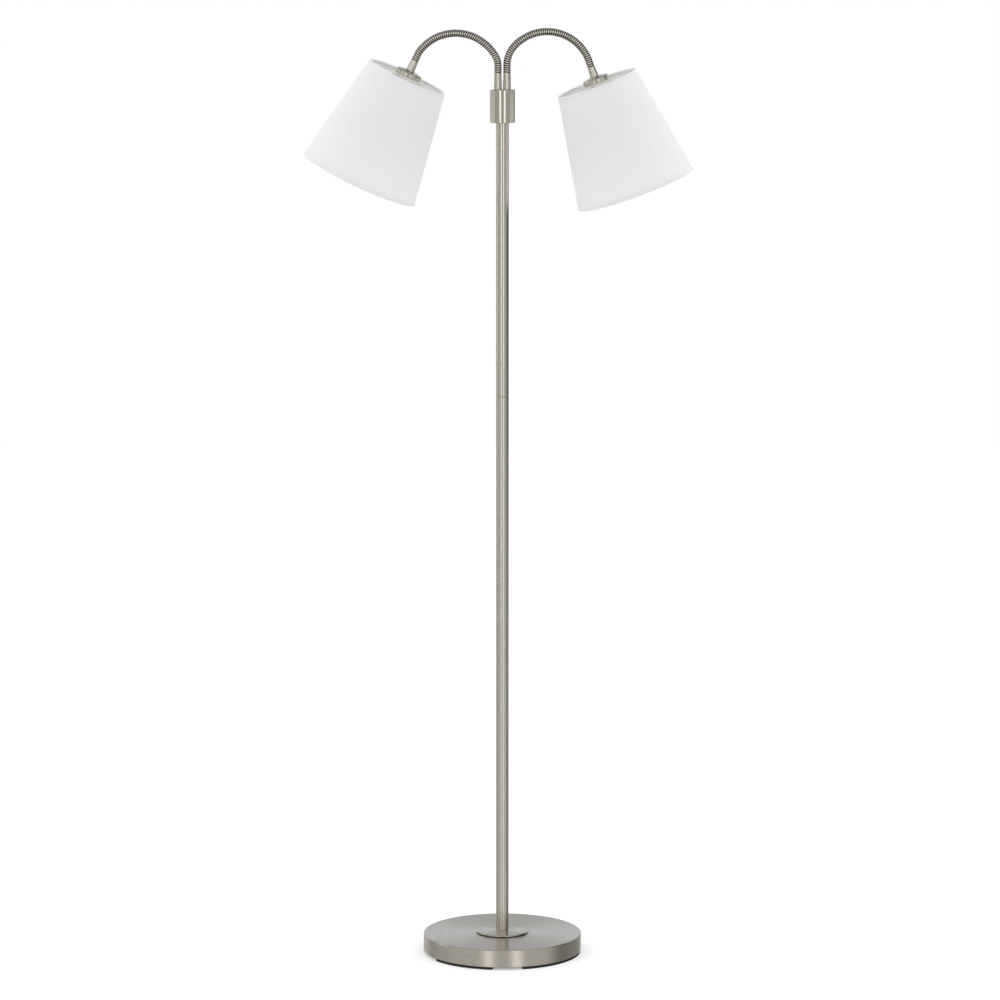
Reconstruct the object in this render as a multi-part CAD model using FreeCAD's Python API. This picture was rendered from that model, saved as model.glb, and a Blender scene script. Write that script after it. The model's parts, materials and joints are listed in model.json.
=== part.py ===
import FreeCAD, Part
import math
import os

from FreeCAD import Placement, Rotation, Vector

# Twin-arm gooseneck floor lamp: a weighted disc base, a two-piece pole, a collar, and two ribbed
# flexible arms, each with a cup, a lampholder, a bulb and a conical fabric shade.
# Millimetres. The origin is on the floor, on the pole's axis. +Z is up and -Y is the front.

# ---- Base -----------------------------------------------------------------------------------
BASE_DIAMETER = 240.0
BASE_HEIGHT = 26.0
BASE_WALL = 1.2
BASE_EDGE_RADIUS = 1.6
PAD_HEIGHT = 4.0
PAD_WIDTH = 9.0
PAD_INSET = 2.5
PAD_ARCS = ((-59.0, 52.0), (15.0, 76.0), (121.0, 52.0), (195.0, 76.0))  # start and length, from the front
PLATE_THICKNESS = 1.2
PLATE_CLEARANCE = 0.3
WEIGHT_RIM_GAP = 1.2  # from the gland's inner end to the weight's rim
WEIGHT_HEADROOM = 1.1  # from the terminal block's top to the weight
WEIGHT_RECESS_DIAMETER = 60.0
CORD_CHANNEL_WIDTH = 16.0
CORD_CHANNEL_LENGTH = 18.0
CORD_CHANNEL_HEIGHT = 10.0
PILLAR_DIAMETER = 12.0
SCREW_EDGE_DISTANCE = 35.0  # from the base's rim to the screws
SCREW_COUNT = 4
SCREW_DIAMETER = 4.0
SCREW_REACH = 9.0
SCREW_HEAD_DIAMETER = 7.5
SCREW_HEAD_HEIGHT = 2.2
SCREW_SLOT_WIDTH = 1.2
SCREW_SLOT_DEPTH = 1.0

# ---- Cord gland in the back of the base -----------------------------------------------------
GLAND_BORE = 6.6
GLAND_WALL = 1.7
GLAND_FLANGE_WIDTH = 2.5
GLAND_FLANGE_LENGTH = 3.5
GLAND_OVERRUN = 1.0
GLAND_NUT_WALL = 1.5
GLAND_NUT_LENGTH = 3.0
GLAND_NUT_STANDOFF = 0.3

# ---- Pole -----------------------------------------------------------------------------------
FLANGE_DIAMETER = 79.5
FLANGE_THICKNESS = 2.0
FLANGE_EDGE_RADIUS = 0.6
FLANGE_OVERHANG = 3.75  # beyond the washer that it sits on
FLANGE_SEAT_THICKNESS = 1.0
POLE_DIAMETER = 19.0
POLE_WALL = 1.2
LOWER_POLE_LENGTH = 818.0
UPPER_POLE_LENGTH = 408.0
COUPLER_BAND = 2.0
COUPLER_SPIGOT = 18.0
SEAM_CHAMFER = 0.4
PLUG_LENGTH = 22.0
STUD_DIAMETER = 10.0
STUD_BORE = 6.5
STUD_ENGAGEMENT = 16.0
STUD_OVERRUN = 1.0
STUD_NUT_FLATS = 14.0
STUD_NUT_HEIGHT = 5.0
STUD_WASHER_DIAMETER = 24.0
STUD_WASHER_THICKNESS = 1.5

# ---- Collar ---------------------------------------------------------------------------------
COLLAR_SIDE_GAP = 3.5  # from the arms' nuts to the ledge under the cap
COLLAR_HEIGHT = 49.0
COLLAR_FLOOR = 3.0
COLLAR_WALL = 1.5
COLLAR_LEDGE = 0.8
COLLAR_EDGE_CHAMFER = 0.4
CAP_THICKNESS = 3.0

# ---- Wiring ---------------------------------------------------------------------------------
LEAD_DIAMETER = 4.6
LEAD_BEND_RADIUS = 7.0
LEAD_FLOOR_GAP = 0.3
LEAD_RISE = 0.5  # from the end of its bend to the stud
TERMINAL_WIDTH = 24.0
TERMINAL_DEPTH = 16.0
TERMINAL_HEIGHT = 8.5
TERMINAL_OFFSET = 56.0  # from the pole's axis, towards the gland
CONNECTOR_WIDTH = 22.0
CONNECTOR_DEPTH = 10.0
CONNECTOR_HEIGHT = 12.0
CONNECTOR_LIFT = 8.0  # from the collar's stud to the connector

# ---- Flexible arms --------------------------------------------------------------------------
ARM_GAP = 1.4  # between the two arms at their feet
ARM_SWEEP = 8.0  # each arm's plane is turned this far towards the back, in degrees
ARM_BORE = 6.0
LOWER_FERRULE_LENGTH = 24.7
LOWER_FERRULE_SHOULDER = 2.0
LOWER_FERRULE_MOUTH = 10.6
TAIL_WALL = 1.0
TAIL_NUT_WALL = 2.0
TAIL_NUT_HEIGHT = 4.0
TAIL_OVERRUN = 1.5
FLEX_DIAMETER = 11.2
FLEX_STRAIGHT = 11.2
FLEX_PIECES = 7
FLEX_GAP = 0.9
FLEX_END_WALL = 0.6  # the flat end of each flexible piece, inside its broken edge
FLEX_END_BREAK = 0.25
RIB_DEPTH = 0.9
RIB_PITCH = 2.65
RIB_RISE = 0.22  # share of the pitch at which a rib reaches its crest
RIB_FALL = 0.68  # share of the pitch at which it leaves its crest
RIB_FOOT = 0.90  # share of the pitch at which it meets the groove

# The arch of each arm: bend radii and turns, from the foot. The last bend turns down to the head's tilt.
LEFT_ARCH = {"radii": (26.5, 69.0, 27.0), "turns": (31.0, 110.5), "head_tilt": 25.5}
RIGHT_ARCH = {"radii": (42.0, 67.5, 45.0), "turns": (45.0, 108.0), "head_tilt": 20.4}

# ---- Heads ----------------------------------------------------------------------------------
UPPER_FERRULE_LENGTH = 15.5
UPPER_FERRULE_MOUTH = 10.8
UPPER_FERRULE_FOOT = 13.0
UPPER_TAIL_REACH = 6.0  # past the cup's wall
LEAD_REACH = 3.5  # past the tail's end, into the lampholder
CUP_HEIGHT = 10.0
CUP_DOME = 2.6
CUP_DOME_BULGE = 0.3
CUP_WALL = 1.0
CUP_CORNER_RADIUS = 1.6
CUP_FLAT_MARGIN = 0.5
CUP_SIDE_GAP = 1.1  # from the lampholder's flange to the cup's side
HOLDER_WALL = 3.0
HOLDER_FLANGE_STEP = 1.2
HOLDER_FLANGE_LENGTH = 4.0
HOLDER_WEB = 5.0
SOCKET_CLEARANCE = 0.4
SHADE_TOP_DIAMETER = 123.0
SHADE_BOTTOM_DIAMETER = 182.0
SHADE_HEIGHT = 170.0
SHADE_WALL = 1.0
WIRE_DIAMETER = 3.0
WIRE_INSET = 0.4
HUB_OVERHANG = 2.2  # beyond the cup's rim
HUB_THICKNESS = 1.2
SPOKE_WIDTH = 5.0
SPOKE_COUNT = 3
RING_OVERHANG = 1.0  # beyond the hub's rim
RING_HEIGHT = 6.5
BULB_DIAMETER = 60.0
BULB_NECK_STEP = 0.9
BULB_SHOULDER_RADIUS = 40.0
BULB_WALL = 0.8
BULB_CAP_DIAMETER = 26.2
BULB_CAP_LENGTH = 28.0
BULB_CAP_STANDOUT = 1.0  # past the lampholder's mouth
BULB_TIP_DIAMETER = 10.0
BULB_TIP_LENGTH = 2.0
BULB_CENTRE_REACH = 48.0  # from the holder's mouth to the middle of the globe

# ---- Fits -----------------------------------------------------------------------------------
FIT_CLEARANCE = 0.05
HOLE_CLEARANCE = 0.1
OVERRUN = 1.0  # how far a cut passes the faces that it goes through

# ---- Diameters worked out from the sizes above ------------------------------------------------
GLAND_DIAMETER = GLAND_BORE + 2 * GLAND_WALL
GLAND_REACH = GLAND_NUT_STANDOFF + GLAND_NUT_LENGTH + GLAND_OVERRUN
WEIGHT_DIAMETER = BASE_DIAMETER - 2 * (BASE_WALL + GLAND_REACH + WEIGHT_RIM_GAP)
STUD_HOLE = STUD_DIAMETER + 2 * HOLE_CLEARANCE
POLE_BORE = POLE_DIAMETER - 2 * POLE_WALL
TAIL_DIAMETER = ARM_BORE + 2 * TAIL_WALL
TAIL_NUT_FLATS = TAIL_DIAMETER + 2 * TAIL_NUT_WALL
LOWER_FERRULE_FOOT = TAIL_DIAMETER + 2 * LOWER_FERRULE_SHOULDER
ARM_SPACING = max(LOWER_FERRULE_FOOT, FLEX_DIAMETER) + ARM_GAP
CAP_SEAT_DIAMETER = ARM_SPACING + TAIL_NUT_FLATS + 2 * COLLAR_SIDE_GAP
COLLAR_MOUTH = CAP_SEAT_DIAMETER + 2 * COLLAR_LEDGE
COLLAR_DIAMETER = COLLAR_MOUTH + 2 * COLLAR_WALL
FLEX_ROOT_DIAMETER = FLEX_DIAMETER - 2 * RIB_DEPTH
FLEX_END_DIAMETER = ARM_BORE + 2 * FLEX_END_WALL
SOCKET_DIAMETER = BULB_CAP_DIAMETER + 2 * SOCKET_CLEARANCE
HOLDER_DIAMETER = SOCKET_DIAMETER + 2 * HOLDER_WALL
HOLDER_FLANGE_DIAMETER = HOLDER_DIAMETER + 2 * HOLDER_FLANGE_STEP
CUP_DIAMETER = HOLDER_FLANGE_DIAMETER + 2 * (CUP_SIDE_GAP + CUP_WALL)
CUP_FLAT_DIAMETER = UPPER_FERRULE_FOOT + 2 * CUP_FLAT_MARGIN
HUB_DIAMETER = CUP_DIAMETER + 2 * HUB_OVERHANG
RING_DIAMETER = HUB_DIAMETER + 2 * RING_OVERHANG
BULB_NECK_DIAMETER = BULB_CAP_DIAMETER + 2 * BULB_NECK_STEP

# ---- Levels worked out from the sizes above --------------------------------------------------
BASE_TOP = PAD_HEIGHT + BASE_HEIGHT
COVER_CEILING = BASE_TOP - BASE_WALL
PLATE_TOP = PAD_HEIGHT + PLATE_THICKNESS
GLAND_LEVEL = (PLATE_TOP + COVER_CEILING) / 2
WEIGHT_BOTTOM = PLATE_TOP + TERMINAL_HEIGHT + WEIGHT_HEADROOM
LEAD_LEVEL = PLATE_TOP + LEAD_FLOOR_GAP + LEAD_DIAMETER / 2
STUD_BOTTOM = LEAD_LEVEL + LEAD_BEND_RADIUS + LEAD_RISE
STUD_NUT_BOTTOM = STUD_BOTTOM + STUD_OVERRUN
STUD_NUT_TOP = STUD_NUT_BOTTOM + STUD_NUT_HEIGHT
RECESS_TOP = STUD_NUT_TOP + STUD_WASHER_THICKNESS
FLANGE_TOP = BASE_TOP + FLANGE_SEAT_THICKNESS + FLANGE_THICKNESS
LOWER_POLE_TOP = FLANGE_TOP + LOWER_POLE_LENGTH
UPPER_POLE_BOTTOM = LOWER_POLE_TOP + COUPLER_BAND
UPPER_POLE_TOP = UPPER_POLE_BOTTOM + UPPER_POLE_LENGTH
COLLAR_NUT_BOTTOM = UPPER_POLE_TOP + COLLAR_FLOOR
COLLAR_STUD_TOP = COLLAR_NUT_BOTTOM + STUD_NUT_HEIGHT + STUD_OVERRUN
CONNECTOR_BOTTOM = COLLAR_STUD_TOP + CONNECTOR_LIFT
CONNECTOR_TOP = CONNECTOR_BOTTOM + CONNECTOR_HEIGHT
COLLAR_TOP = UPPER_POLE_TOP + COLLAR_HEIGHT
CAP_BOTTOM = COLLAR_TOP - CAP_THICKNESS
ARM_FOOT = COLLAR_TOP + LOWER_FERRULE_LENGTH
CUP_TOP = UPPER_FERRULE_LENGTH
CUP_RIM = CUP_TOP + CUP_HEIGHT
UPPER_TAIL_END = CUP_TOP + CUP_WALL + UPPER_TAIL_REACH
LEAD_END = UPPER_TAIL_END + LEAD_REACH
SOCKET_END = LEAD_END + HOLDER_WEB
BULB_CAP_END = SOCKET_END + BULB_TIP_LENGTH + BULB_CAP_LENGTH
HOLDER_MOUTH = BULB_CAP_END - BULB_CAP_STANDOUT


def cylinder(diameter, bottom, top, x=0.0, y=0.0):
    """An upright cylinder between two levels."""
    return Part.makeCylinder(diameter / 2, top - bottom, Vector(x, y, bottom))


def tube(diameter, bore, bottom, top):
    """An upright tube between two levels."""
    return cylinder(diameter, bottom, top).cut(cylinder(bore, bottom - OVERRUN, top + OVERRUN))


def hexagon(flats, bore, bottom, top, x=0.0):
    """A hexagon nut with two of its flats facing +X and -X."""
    corner = flats / math.sqrt(3)
    points = [
        Vector(x + corner * math.sin(math.radians(60 * i)), corner * math.cos(math.radians(60 * i)), bottom)
        for i in range(7)
    ]
    nut = Part.Face(Part.makePolygon(points)).extrude(Vector(0, 0, top - bottom))
    return nut.cut(cylinder(bore, bottom - OVERRUN, top + OVERRUN, x))


def turned(edges):
    """A solid turned about the Z axis from a closed outline in the XZ plane."""
    face = Part.Face(Part.Wire(edges))
    return face.revolve(Vector(0, 0, 0), Vector(0, 0, 1), 360)


def polyline(points):
    """Edges through (radius, level) points."""
    corners = [Vector(r, 0, z) for r, z in points]
    return [Part.makeLine(a, b) for a, b in zip(corners, corners[1:])]


def arc(start, middle, end):
    """An arc through three (radius, level) points."""
    return Part.Arc(*(Vector(r, 0, z) for r, z in (start, middle, end))).toShape()


def turned_polygon(points):
    """A solid turned from a polygon of (radius, level) points."""
    return turned(polyline(points + points[:1]))


# ---- Base -----------------------------------------------------------------------------------
def base_body(radius, floor, ceiling, edge_radius):
    """A disc with a rounded top edge."""
    middle = edge_radius * (1 - math.sqrt(0.5))
    edges = polyline([(0, ceiling), (0, floor), (radius, floor), (radius, ceiling - edge_radius)])
    edges.append(
        arc(
            (radius, ceiling - edge_radius),
            (radius - middle, ceiling - middle),
            (radius - edge_radius, ceiling),
        )
    )
    edges += polyline([(radius - edge_radius, ceiling), (0, ceiling)])
    return turned(edges)


def base_cover():
    """The drawn steel cover, open below, with holes for the stud and the gland."""
    outer = base_body(BASE_DIAMETER / 2, PAD_HEIGHT, BASE_TOP, BASE_EDGE_RADIUS)
    inner = base_body(
        BASE_DIAMETER / 2 - BASE_WALL, PAD_HEIGHT - OVERRUN, COVER_CEILING, BASE_EDGE_RADIUS / 2
    )
    stud_hole = cylinder(STUD_HOLE, COVER_CEILING - OVERRUN, BASE_TOP + OVERRUN)
    gland_hole = gland_cylinder(GLAND_DIAMETER + 2 * HOLE_CLEARANCE, -BASE_WALL - OVERRUN, OVERRUN)
    return outer.cut(inner).cut(stud_hole).cut(gland_hole)


def base_weight():
    """The cast weight: a disc with four pillars, a recess for the stud's nut and a channel for the cord."""
    weight = cylinder(WEIGHT_DIAMETER, WEIGHT_BOTTOM, COVER_CEILING)
    for x, y in screw_places():
        weight = weight.fuse(cylinder(PILLAR_DIAMETER, PLATE_TOP, WEIGHT_BOTTOM + OVERRUN, x, y))
    weight = weight.removeSplitter()
    weight = weight.cut(cylinder(WEIGHT_RECESS_DIAMETER, WEIGHT_BOTTOM - OVERRUN, RECESS_TOP))
    weight = weight.cut(cylinder(STUD_HOLE, RECESS_TOP - OVERRUN, COVER_CEILING + OVERRUN))
    channel_end = WEIGHT_DIAMETER / 2 - CORD_CHANNEL_LENGTH
    channel = Part.makeBox(
        CORD_CHANNEL_WIDTH,
        CORD_CHANNEL_LENGTH + OVERRUN,
        CORD_CHANNEL_HEIGHT + OVERRUN,
        Vector(-CORD_CHANNEL_WIDTH / 2, channel_end, WEIGHT_BOTTOM - OVERRUN),
    )
    weight = weight.cut(channel)
    hole_top = PAD_HEIGHT + SCREW_REACH + OVERRUN
    for x, y in screw_places():
        weight = weight.cut(cylinder(SCREW_DIAMETER + 2 * FIT_CLEARANCE, PLATE_TOP - OVERRUN, hole_top, x, y))
    return weight


def screw_places():
    """Centres of the plate's screws, on the diagonals."""
    radius = BASE_DIAMETER / 2 - SCREW_EDGE_DISTANCE
    turns = [math.radians(45 + 360 * i / SCREW_COUNT) for i in range(SCREW_COUNT)]
    return [(radius * math.cos(a), radius * math.sin(a)) for a in turns]


def base_plate():
    """The flat plate that closes the cover from below."""
    radius = BASE_DIAMETER / 2 - BASE_WALL - PLATE_CLEARANCE
    plate = cylinder(2 * radius, PAD_HEIGHT, PLATE_TOP)
    for x, y in screw_places():
        hole = cylinder(SCREW_DIAMETER + 2 * HOLE_CLEARANCE, PAD_HEIGHT - OVERRUN, PLATE_TOP + OVERRUN, x, y)
        plate = plate.cut(hole)
    return plate


def plate_screws():
    """Slotted pan-head screws that hold the plate to the weight's pillars."""
    screws = []
    slot_length = SCREW_HEAD_DIAMETER + 2 * OVERRUN
    for x, y in screw_places():
        head = cylinder(SCREW_HEAD_DIAMETER, PAD_HEIGHT - SCREW_HEAD_HEIGHT, PAD_HEIGHT, x, y)
        slot_corner = Vector(
            x - slot_length / 2, y - SCREW_SLOT_WIDTH / 2, PAD_HEIGHT - SCREW_HEAD_HEIGHT - OVERRUN
        )
        slot = Part.makeBox(slot_length, SCREW_SLOT_WIDTH, SCREW_SLOT_DEPTH + OVERRUN, slot_corner)
        shank = cylinder(SCREW_DIAMETER, PAD_HEIGHT, PAD_HEIGHT + SCREW_REACH, x, y)
        screws.append(head.cut(slot).fuse(shank).removeSplitter())
    return Part.makeCompound(screws)


def foot_pads():
    """Rubber arc strips under the rim, with rounded ends."""
    outer = BASE_DIAMETER / 2 - PAD_INSET
    middle = outer - PAD_WIDTH / 2
    pads = []
    for start, length in PAD_ARCS:
        margin = math.degrees(PAD_WIDTH / 2 / middle)
        strip_start = start + margin
        strip_length = length - 2 * margin
        section = Part.Face(
            Part.makePolygon(
                [
                    Vector(outer - PAD_WIDTH, 0, 0),
                    Vector(outer, 0, 0),
                    Vector(outer, 0, PAD_HEIGHT),
                    Vector(outer - PAD_WIDTH, 0, PAD_HEIGHT),
                    Vector(outer - PAD_WIDTH, 0, 0),
                ]
            )
        )
        section.rotate(Vector(0, 0, 0), Vector(0, 0, 1), strip_start - 90)
        pad = section.revolve(Vector(0, 0, 0), Vector(0, 0, 1), strip_length)
        for turn in (strip_start, strip_start + strip_length):
            x = middle * math.sin(math.radians(turn))
            y = -middle * math.cos(math.radians(turn))
            pad = pad.fuse(cylinder(PAD_WIDTH, 0, PAD_HEIGHT, x, y))
        pads.append(pad.removeSplitter())
    return Part.makeCompound(pads)


def gland_cylinder(diameter, inwards, outwards):
    """A cylinder on the gland's axis, between two distances from the rim: + is outwards."""
    rim = BASE_DIAMETER / 2
    return Part.makeCylinder(
        diameter / 2, outwards - inwards, Vector(0, rim + inwards, GLAND_LEVEL), Vector(0, 1, 0)
    )


def cable_gland():
    """The cord's bush in the back of the base."""
    body = gland_cylinder(GLAND_DIAMETER, -BASE_WALL - GLAND_REACH, GLAND_FLANGE_LENGTH)
    flange = gland_cylinder(GLAND_DIAMETER + 2 * GLAND_FLANGE_WIDTH, 0, GLAND_FLANGE_LENGTH)
    bore = gland_cylinder(GLAND_BORE, -BASE_WALL - GLAND_REACH - OVERRUN, GLAND_FLANGE_LENGTH + OVERRUN)
    return body.fuse(flange).removeSplitter().cut(bore)


def gland_nut():
    """The nut that holds the gland from inside the cover."""
    flats = GLAND_DIAMETER + 2 * GLAND_NUT_WALL
    nut = hexagon(flats, GLAND_DIAMETER + 2 * FIT_CLEARANCE, 0, GLAND_NUT_LENGTH)
    nut.rotate(Vector(0, 0, 0), Vector(1, 0, 0), 90)
    nut.translate(Vector(0, BASE_DIAMETER / 2 - BASE_WALL - GLAND_NUT_STANDOFF, GLAND_LEVEL))
    return nut


# ---- Pole -----------------------------------------------------------------------------------
def pole_flange():
    """The thin disc around the pole's foot."""
    disc = base_body(FLANGE_DIAMETER / 2, FLANGE_TOP - FLANGE_THICKNESS, FLANGE_TOP, FLANGE_EDGE_RADIUS)
    return disc.cut(cylinder(STUD_HOLE, BASE_TOP, FLANGE_TOP + OVERRUN))


def flange_seat():
    """The dark fibre washer between the base and the disc."""
    diameter = FLANGE_DIAMETER - 2 * FLANGE_OVERHANG
    return tube(diameter, STUD_HOLE, BASE_TOP, BASE_TOP + FLANGE_SEAT_THICKNESS)


def pole_stud():
    """The hollow threaded rod that clamps the weight, the cover and the disc to the pole."""
    return tube(STUD_DIAMETER, STUD_BORE, STUD_BOTTOM, FLANGE_TOP + STUD_ENGAGEMENT)


def stud_nuts():
    """The nut under the weight, and the one that holds the collar down on the pole."""
    bore = STUD_DIAMETER + 2 * FIT_CLEARANCE
    bottoms = (STUD_NUT_BOTTOM, COLLAR_NUT_BOTTOM)
    return Part.makeCompound([hexagon(STUD_NUT_FLATS, bore, z, z + STUD_NUT_HEIGHT) for z in bottoms])


def stud_washer():
    """The washer between the nut and the weight."""
    return tube(STUD_WASHER_DIAMETER, STUD_HOLE, STUD_NUT_TOP, RECESS_TOP)


def pole_plug(bottom):
    """A threaded plug pressed into one end of a pole tube."""
    return tube(
        POLE_BORE - 2 * FIT_CLEARANCE, STUD_DIAMETER + 2 * FIT_CLEARANCE, bottom, bottom + PLUG_LENGTH
    )


def pole_tube(bottom, top):
    """One length of pole, its ends lightly broken so that the seams show."""
    outer = POLE_DIAMETER / 2
    bore = POLE_BORE / 2
    return turned_polygon(
        [
            (bore, bottom),
            (outer - SEAM_CHAMFER, bottom),
            (outer, bottom + SEAM_CHAMFER),
            (outer, top - SEAM_CHAMFER),
            (outer - SEAM_CHAMFER, top),
            (bore, top),
        ]
    )


def pole_coupler():
    """The joiner: a spigot in each tube and a narrow band between them."""
    spigot = POLE_BORE / 2 - FIT_CLEARANCE
    bore = STUD_DIAMETER / 2
    band = POLE_DIAMETER / 2
    return turned_polygon(
        [
            (bore, LOWER_POLE_TOP - COUPLER_SPIGOT),
            (spigot, LOWER_POLE_TOP - COUPLER_SPIGOT),
            (spigot, LOWER_POLE_TOP),
            (band - SEAM_CHAMFER, LOWER_POLE_TOP),
            (band, LOWER_POLE_TOP + SEAM_CHAMFER),
            (band, UPPER_POLE_BOTTOM - SEAM_CHAMFER),
            (band - SEAM_CHAMFER, UPPER_POLE_BOTTOM),
            (spigot, UPPER_POLE_BOTTOM),
            (spigot, UPPER_POLE_BOTTOM + COUPLER_SPIGOT),
            (bore, UPPER_POLE_BOTTOM + COUPLER_SPIGOT),
        ]
    )


# ---- Collar ---------------------------------------------------------------------------------
def collar():
    """The plain cylinder on the pole, with a floor, and a ledge that carries its cap."""
    outer = COLLAR_DIAMETER / 2
    mouth = COLLAR_MOUTH / 2
    inner = CAP_SEAT_DIAMETER / 2
    hole = STUD_HOLE / 2
    edge = COLLAR_EDGE_CHAMFER
    return turned_polygon(
        [
            (hole, UPPER_POLE_TOP),
            (outer - edge, UPPER_POLE_TOP),
            (outer, UPPER_POLE_TOP + edge),
            (outer, COLLAR_TOP - edge),
            (outer - edge, COLLAR_TOP),
            (mouth, COLLAR_TOP),
            (mouth, CAP_BOTTOM),
            (inner, CAP_BOTTOM),
            (inner, COLLAR_NUT_BOTTOM),
            (hole, COLLAR_NUT_BOTTOM),
        ]
    )


def collar_cap():
    """The disc that closes the collar and carries both arms."""
    cap = cylinder(COLLAR_MOUTH - 2 * FIT_CLEARANCE, CAP_BOTTOM, COLLAR_TOP)
    hole = TAIL_DIAMETER + 2 * FIT_CLEARANCE
    for arm in ARMS.values():
        cap = cap.cut(cylinder(hole, CAP_BOTTOM - OVERRUN, COLLAR_TOP + OVERRUN, arm.root.x))
    return cap


def collar_stud():
    """The hollow threaded rod from the pole's top plug into the collar."""
    return tube(STUD_DIAMETER, STUD_BORE, UPPER_POLE_TOP - STUD_ENGAGEMENT, COLLAR_STUD_TOP)


# ---- Wiring ---------------------------------------------------------------------------------
def block(width, depth, height, y, bottom):
    """A box centred on (0, y) and standing on a level."""
    return Part.makeBox(width, depth, height, Vector(-width / 2, y - depth / 2, bottom))


def terminal_block():
    """Where the cord is joined to the pole's lead, on the plate."""
    return block(TERMINAL_WIDTH, TERMINAL_DEPTH, TERMINAL_HEIGHT, TERMINAL_OFFSET, PLATE_TOP)


def wire_connector():
    """Where the pole's lead is joined to both arms' leads, in the collar."""
    return block(CONNECTOR_WIDTH, CONNECTOR_DEPTH, CONNECTOR_HEIGHT, 0, CONNECTOR_BOTTOM)


def piped(edges, diameter):
    """A round lead along tangent lines and arcs, checked against its length."""
    spine = Part.Wire(edges)
    start = edges[0].valueAt(edges[0].FirstParameter)
    heading = edges[0].tangentAt(edges[0].FirstParameter)
    section = Part.Wire([Part.makeCircle(diameter / 2, start, heading)])
    lead = spine.makePipeShell([section], True, False)
    expected = math.pi * diameter**2 / 4 * spine.Length
    print(f"lead: length {spine.Length:.1f} mm, volume {lead.Volume / expected:.4f} of section times length")
    return lead


def pole_lead():
    """The lead from the terminal block, up the pole, to the connector."""
    radius = LEAD_BEND_RADIUS
    halfway = radius * (1 - math.sqrt(0.5))
    start = Vector(0, TERMINAL_OFFSET - TERMINAL_DEPTH / 2, LEAD_LEVEL)
    bend_start = Vector(0, radius, LEAD_LEVEL)
    bend_middle = Vector(0, halfway, LEAD_LEVEL + halfway)
    bend_end = Vector(0, 0, LEAD_LEVEL + radius)
    edges = [
        Part.makeLine(start, bend_start),
        Part.Arc(bend_start, bend_middle, bend_end).toShape(),
        Part.makeLine(bend_end, Vector(0, 0, CONNECTOR_BOTTOM)),
    ]
    return piped(edges, LEAD_DIAMETER)


# ---- Flexible arms --------------------------------------------------------------------------
class Arm:
    """The centreline of one arm, and where its joints and its head lie.

    Distances along it are measured from the lower ferrule's mouth. side is -1 on the left, +1 on the right.
    """

    def __init__(self, side, arch):
        self.side = side
        sweep = math.radians(ARM_SWEEP)
        self.outwards = Vector(side * math.cos(sweep), math.sin(sweep), 0)
        self.backwards = Vector(-side * math.sin(sweep), math.cos(sweep), 0)
        self.root = Vector(side * ARM_SPACING / 2, 0, ARM_FOOT)
        last_turn = 180 - arch["head_tilt"] - sum(arch["turns"])
        turns = [math.radians(turn) for turn in arch["turns"] + (last_turn,)]
        self.stretches = [(FLEX_STRAIGHT, 0.0)]
        self.stretches += [(radius * turn, 1 / radius) for radius, turn in zip(arch["radii"], turns)]
        self.stretches.append((FLEX_STRAIGHT, 0.0))
        self.length = sum(length for length, _ in self.stretches)
        self.piece_length = (self.length - (FLEX_PIECES + 1) * FLEX_GAP) / FLEX_PIECES

    def station(self, distance):
        """Position and heading at a distance along the arm, straight on past both ends."""
        out = 0.0
        up = 0.0
        heading = 0.0
        left = distance
        last = len(self.stretches) - 1
        for index, (length, curvature) in enumerate(self.stretches):
            run = left if index == last or left < length else length
            if curvature:
                turn = run * curvature
                out += (math.cos(heading) - math.cos(heading + turn)) / curvature
                up += (math.sin(heading + turn) - math.sin(heading)) / curvature
                heading += turn
            else:
                out += run * math.sin(heading)
                up += run * math.cos(heading)
            left -= run
            if left <= 0:
                break
        place = self.root + self.outwards * out + Vector(0, 0, up)
        return place, self.outwards * math.sin(heading) + Vector(0, 0, math.cos(heading))

    def frame(self, distance):
        """A placement whose +Z runs along the arm and whose +X is steady, square to the arm's plane."""
        place, heading = self.station(distance)
        return Placement(place, Rotation(self.backwards, heading.cross(self.backwards), heading, "ZXY"))

    def section(self, diameter, distance):
        """A circle across the arm."""
        circle = Part.Wire([Part.Circle(Vector(0, 0, 0), Vector(0, 0, 1), diameter / 2).toShape()])
        circle.Placement = self.frame(distance)
        return circle

    def piece_start(self, index):
        """Where a flexible piece begins: 0 is the first."""
        return FLEX_GAP + index * (self.piece_length + FLEX_GAP)

    def hinge(self, index):
        """Where a joint lies, midway in its gap: 0 is at the lower ferrule."""
        return self.station(index * (self.piece_length + FLEX_GAP) + FLEX_GAP / 2)

    def centreline(self, start, end):
        """Tangent lines and arcs along the arm between two distances, the ends on straight stretches."""
        bounds = [start]
        reached = 0.0
        for length, _ in self.stretches[:-1]:
            reached += length
            bounds.append(reached)
        bounds.append(end)
        edges = []
        for (_, curvature), a, b in zip(self.stretches, bounds, bounds[1:]):
            first = self.station(a)[0]
            last = self.station(b)[0]
            if curvature:
                edges.append(Part.Arc(first, self.station((a + b) / 2)[0], last).toShape())
            else:
                edges.append(Part.makeLine(first, last))
        return edges

    def place_head(self, shape):
        """Moves a piece made about +Z, from the flexible arm's end on, to its place on the arm."""
        shape.Placement = self.frame(self.length).multiply(shape.Placement)
        return shape


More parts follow.
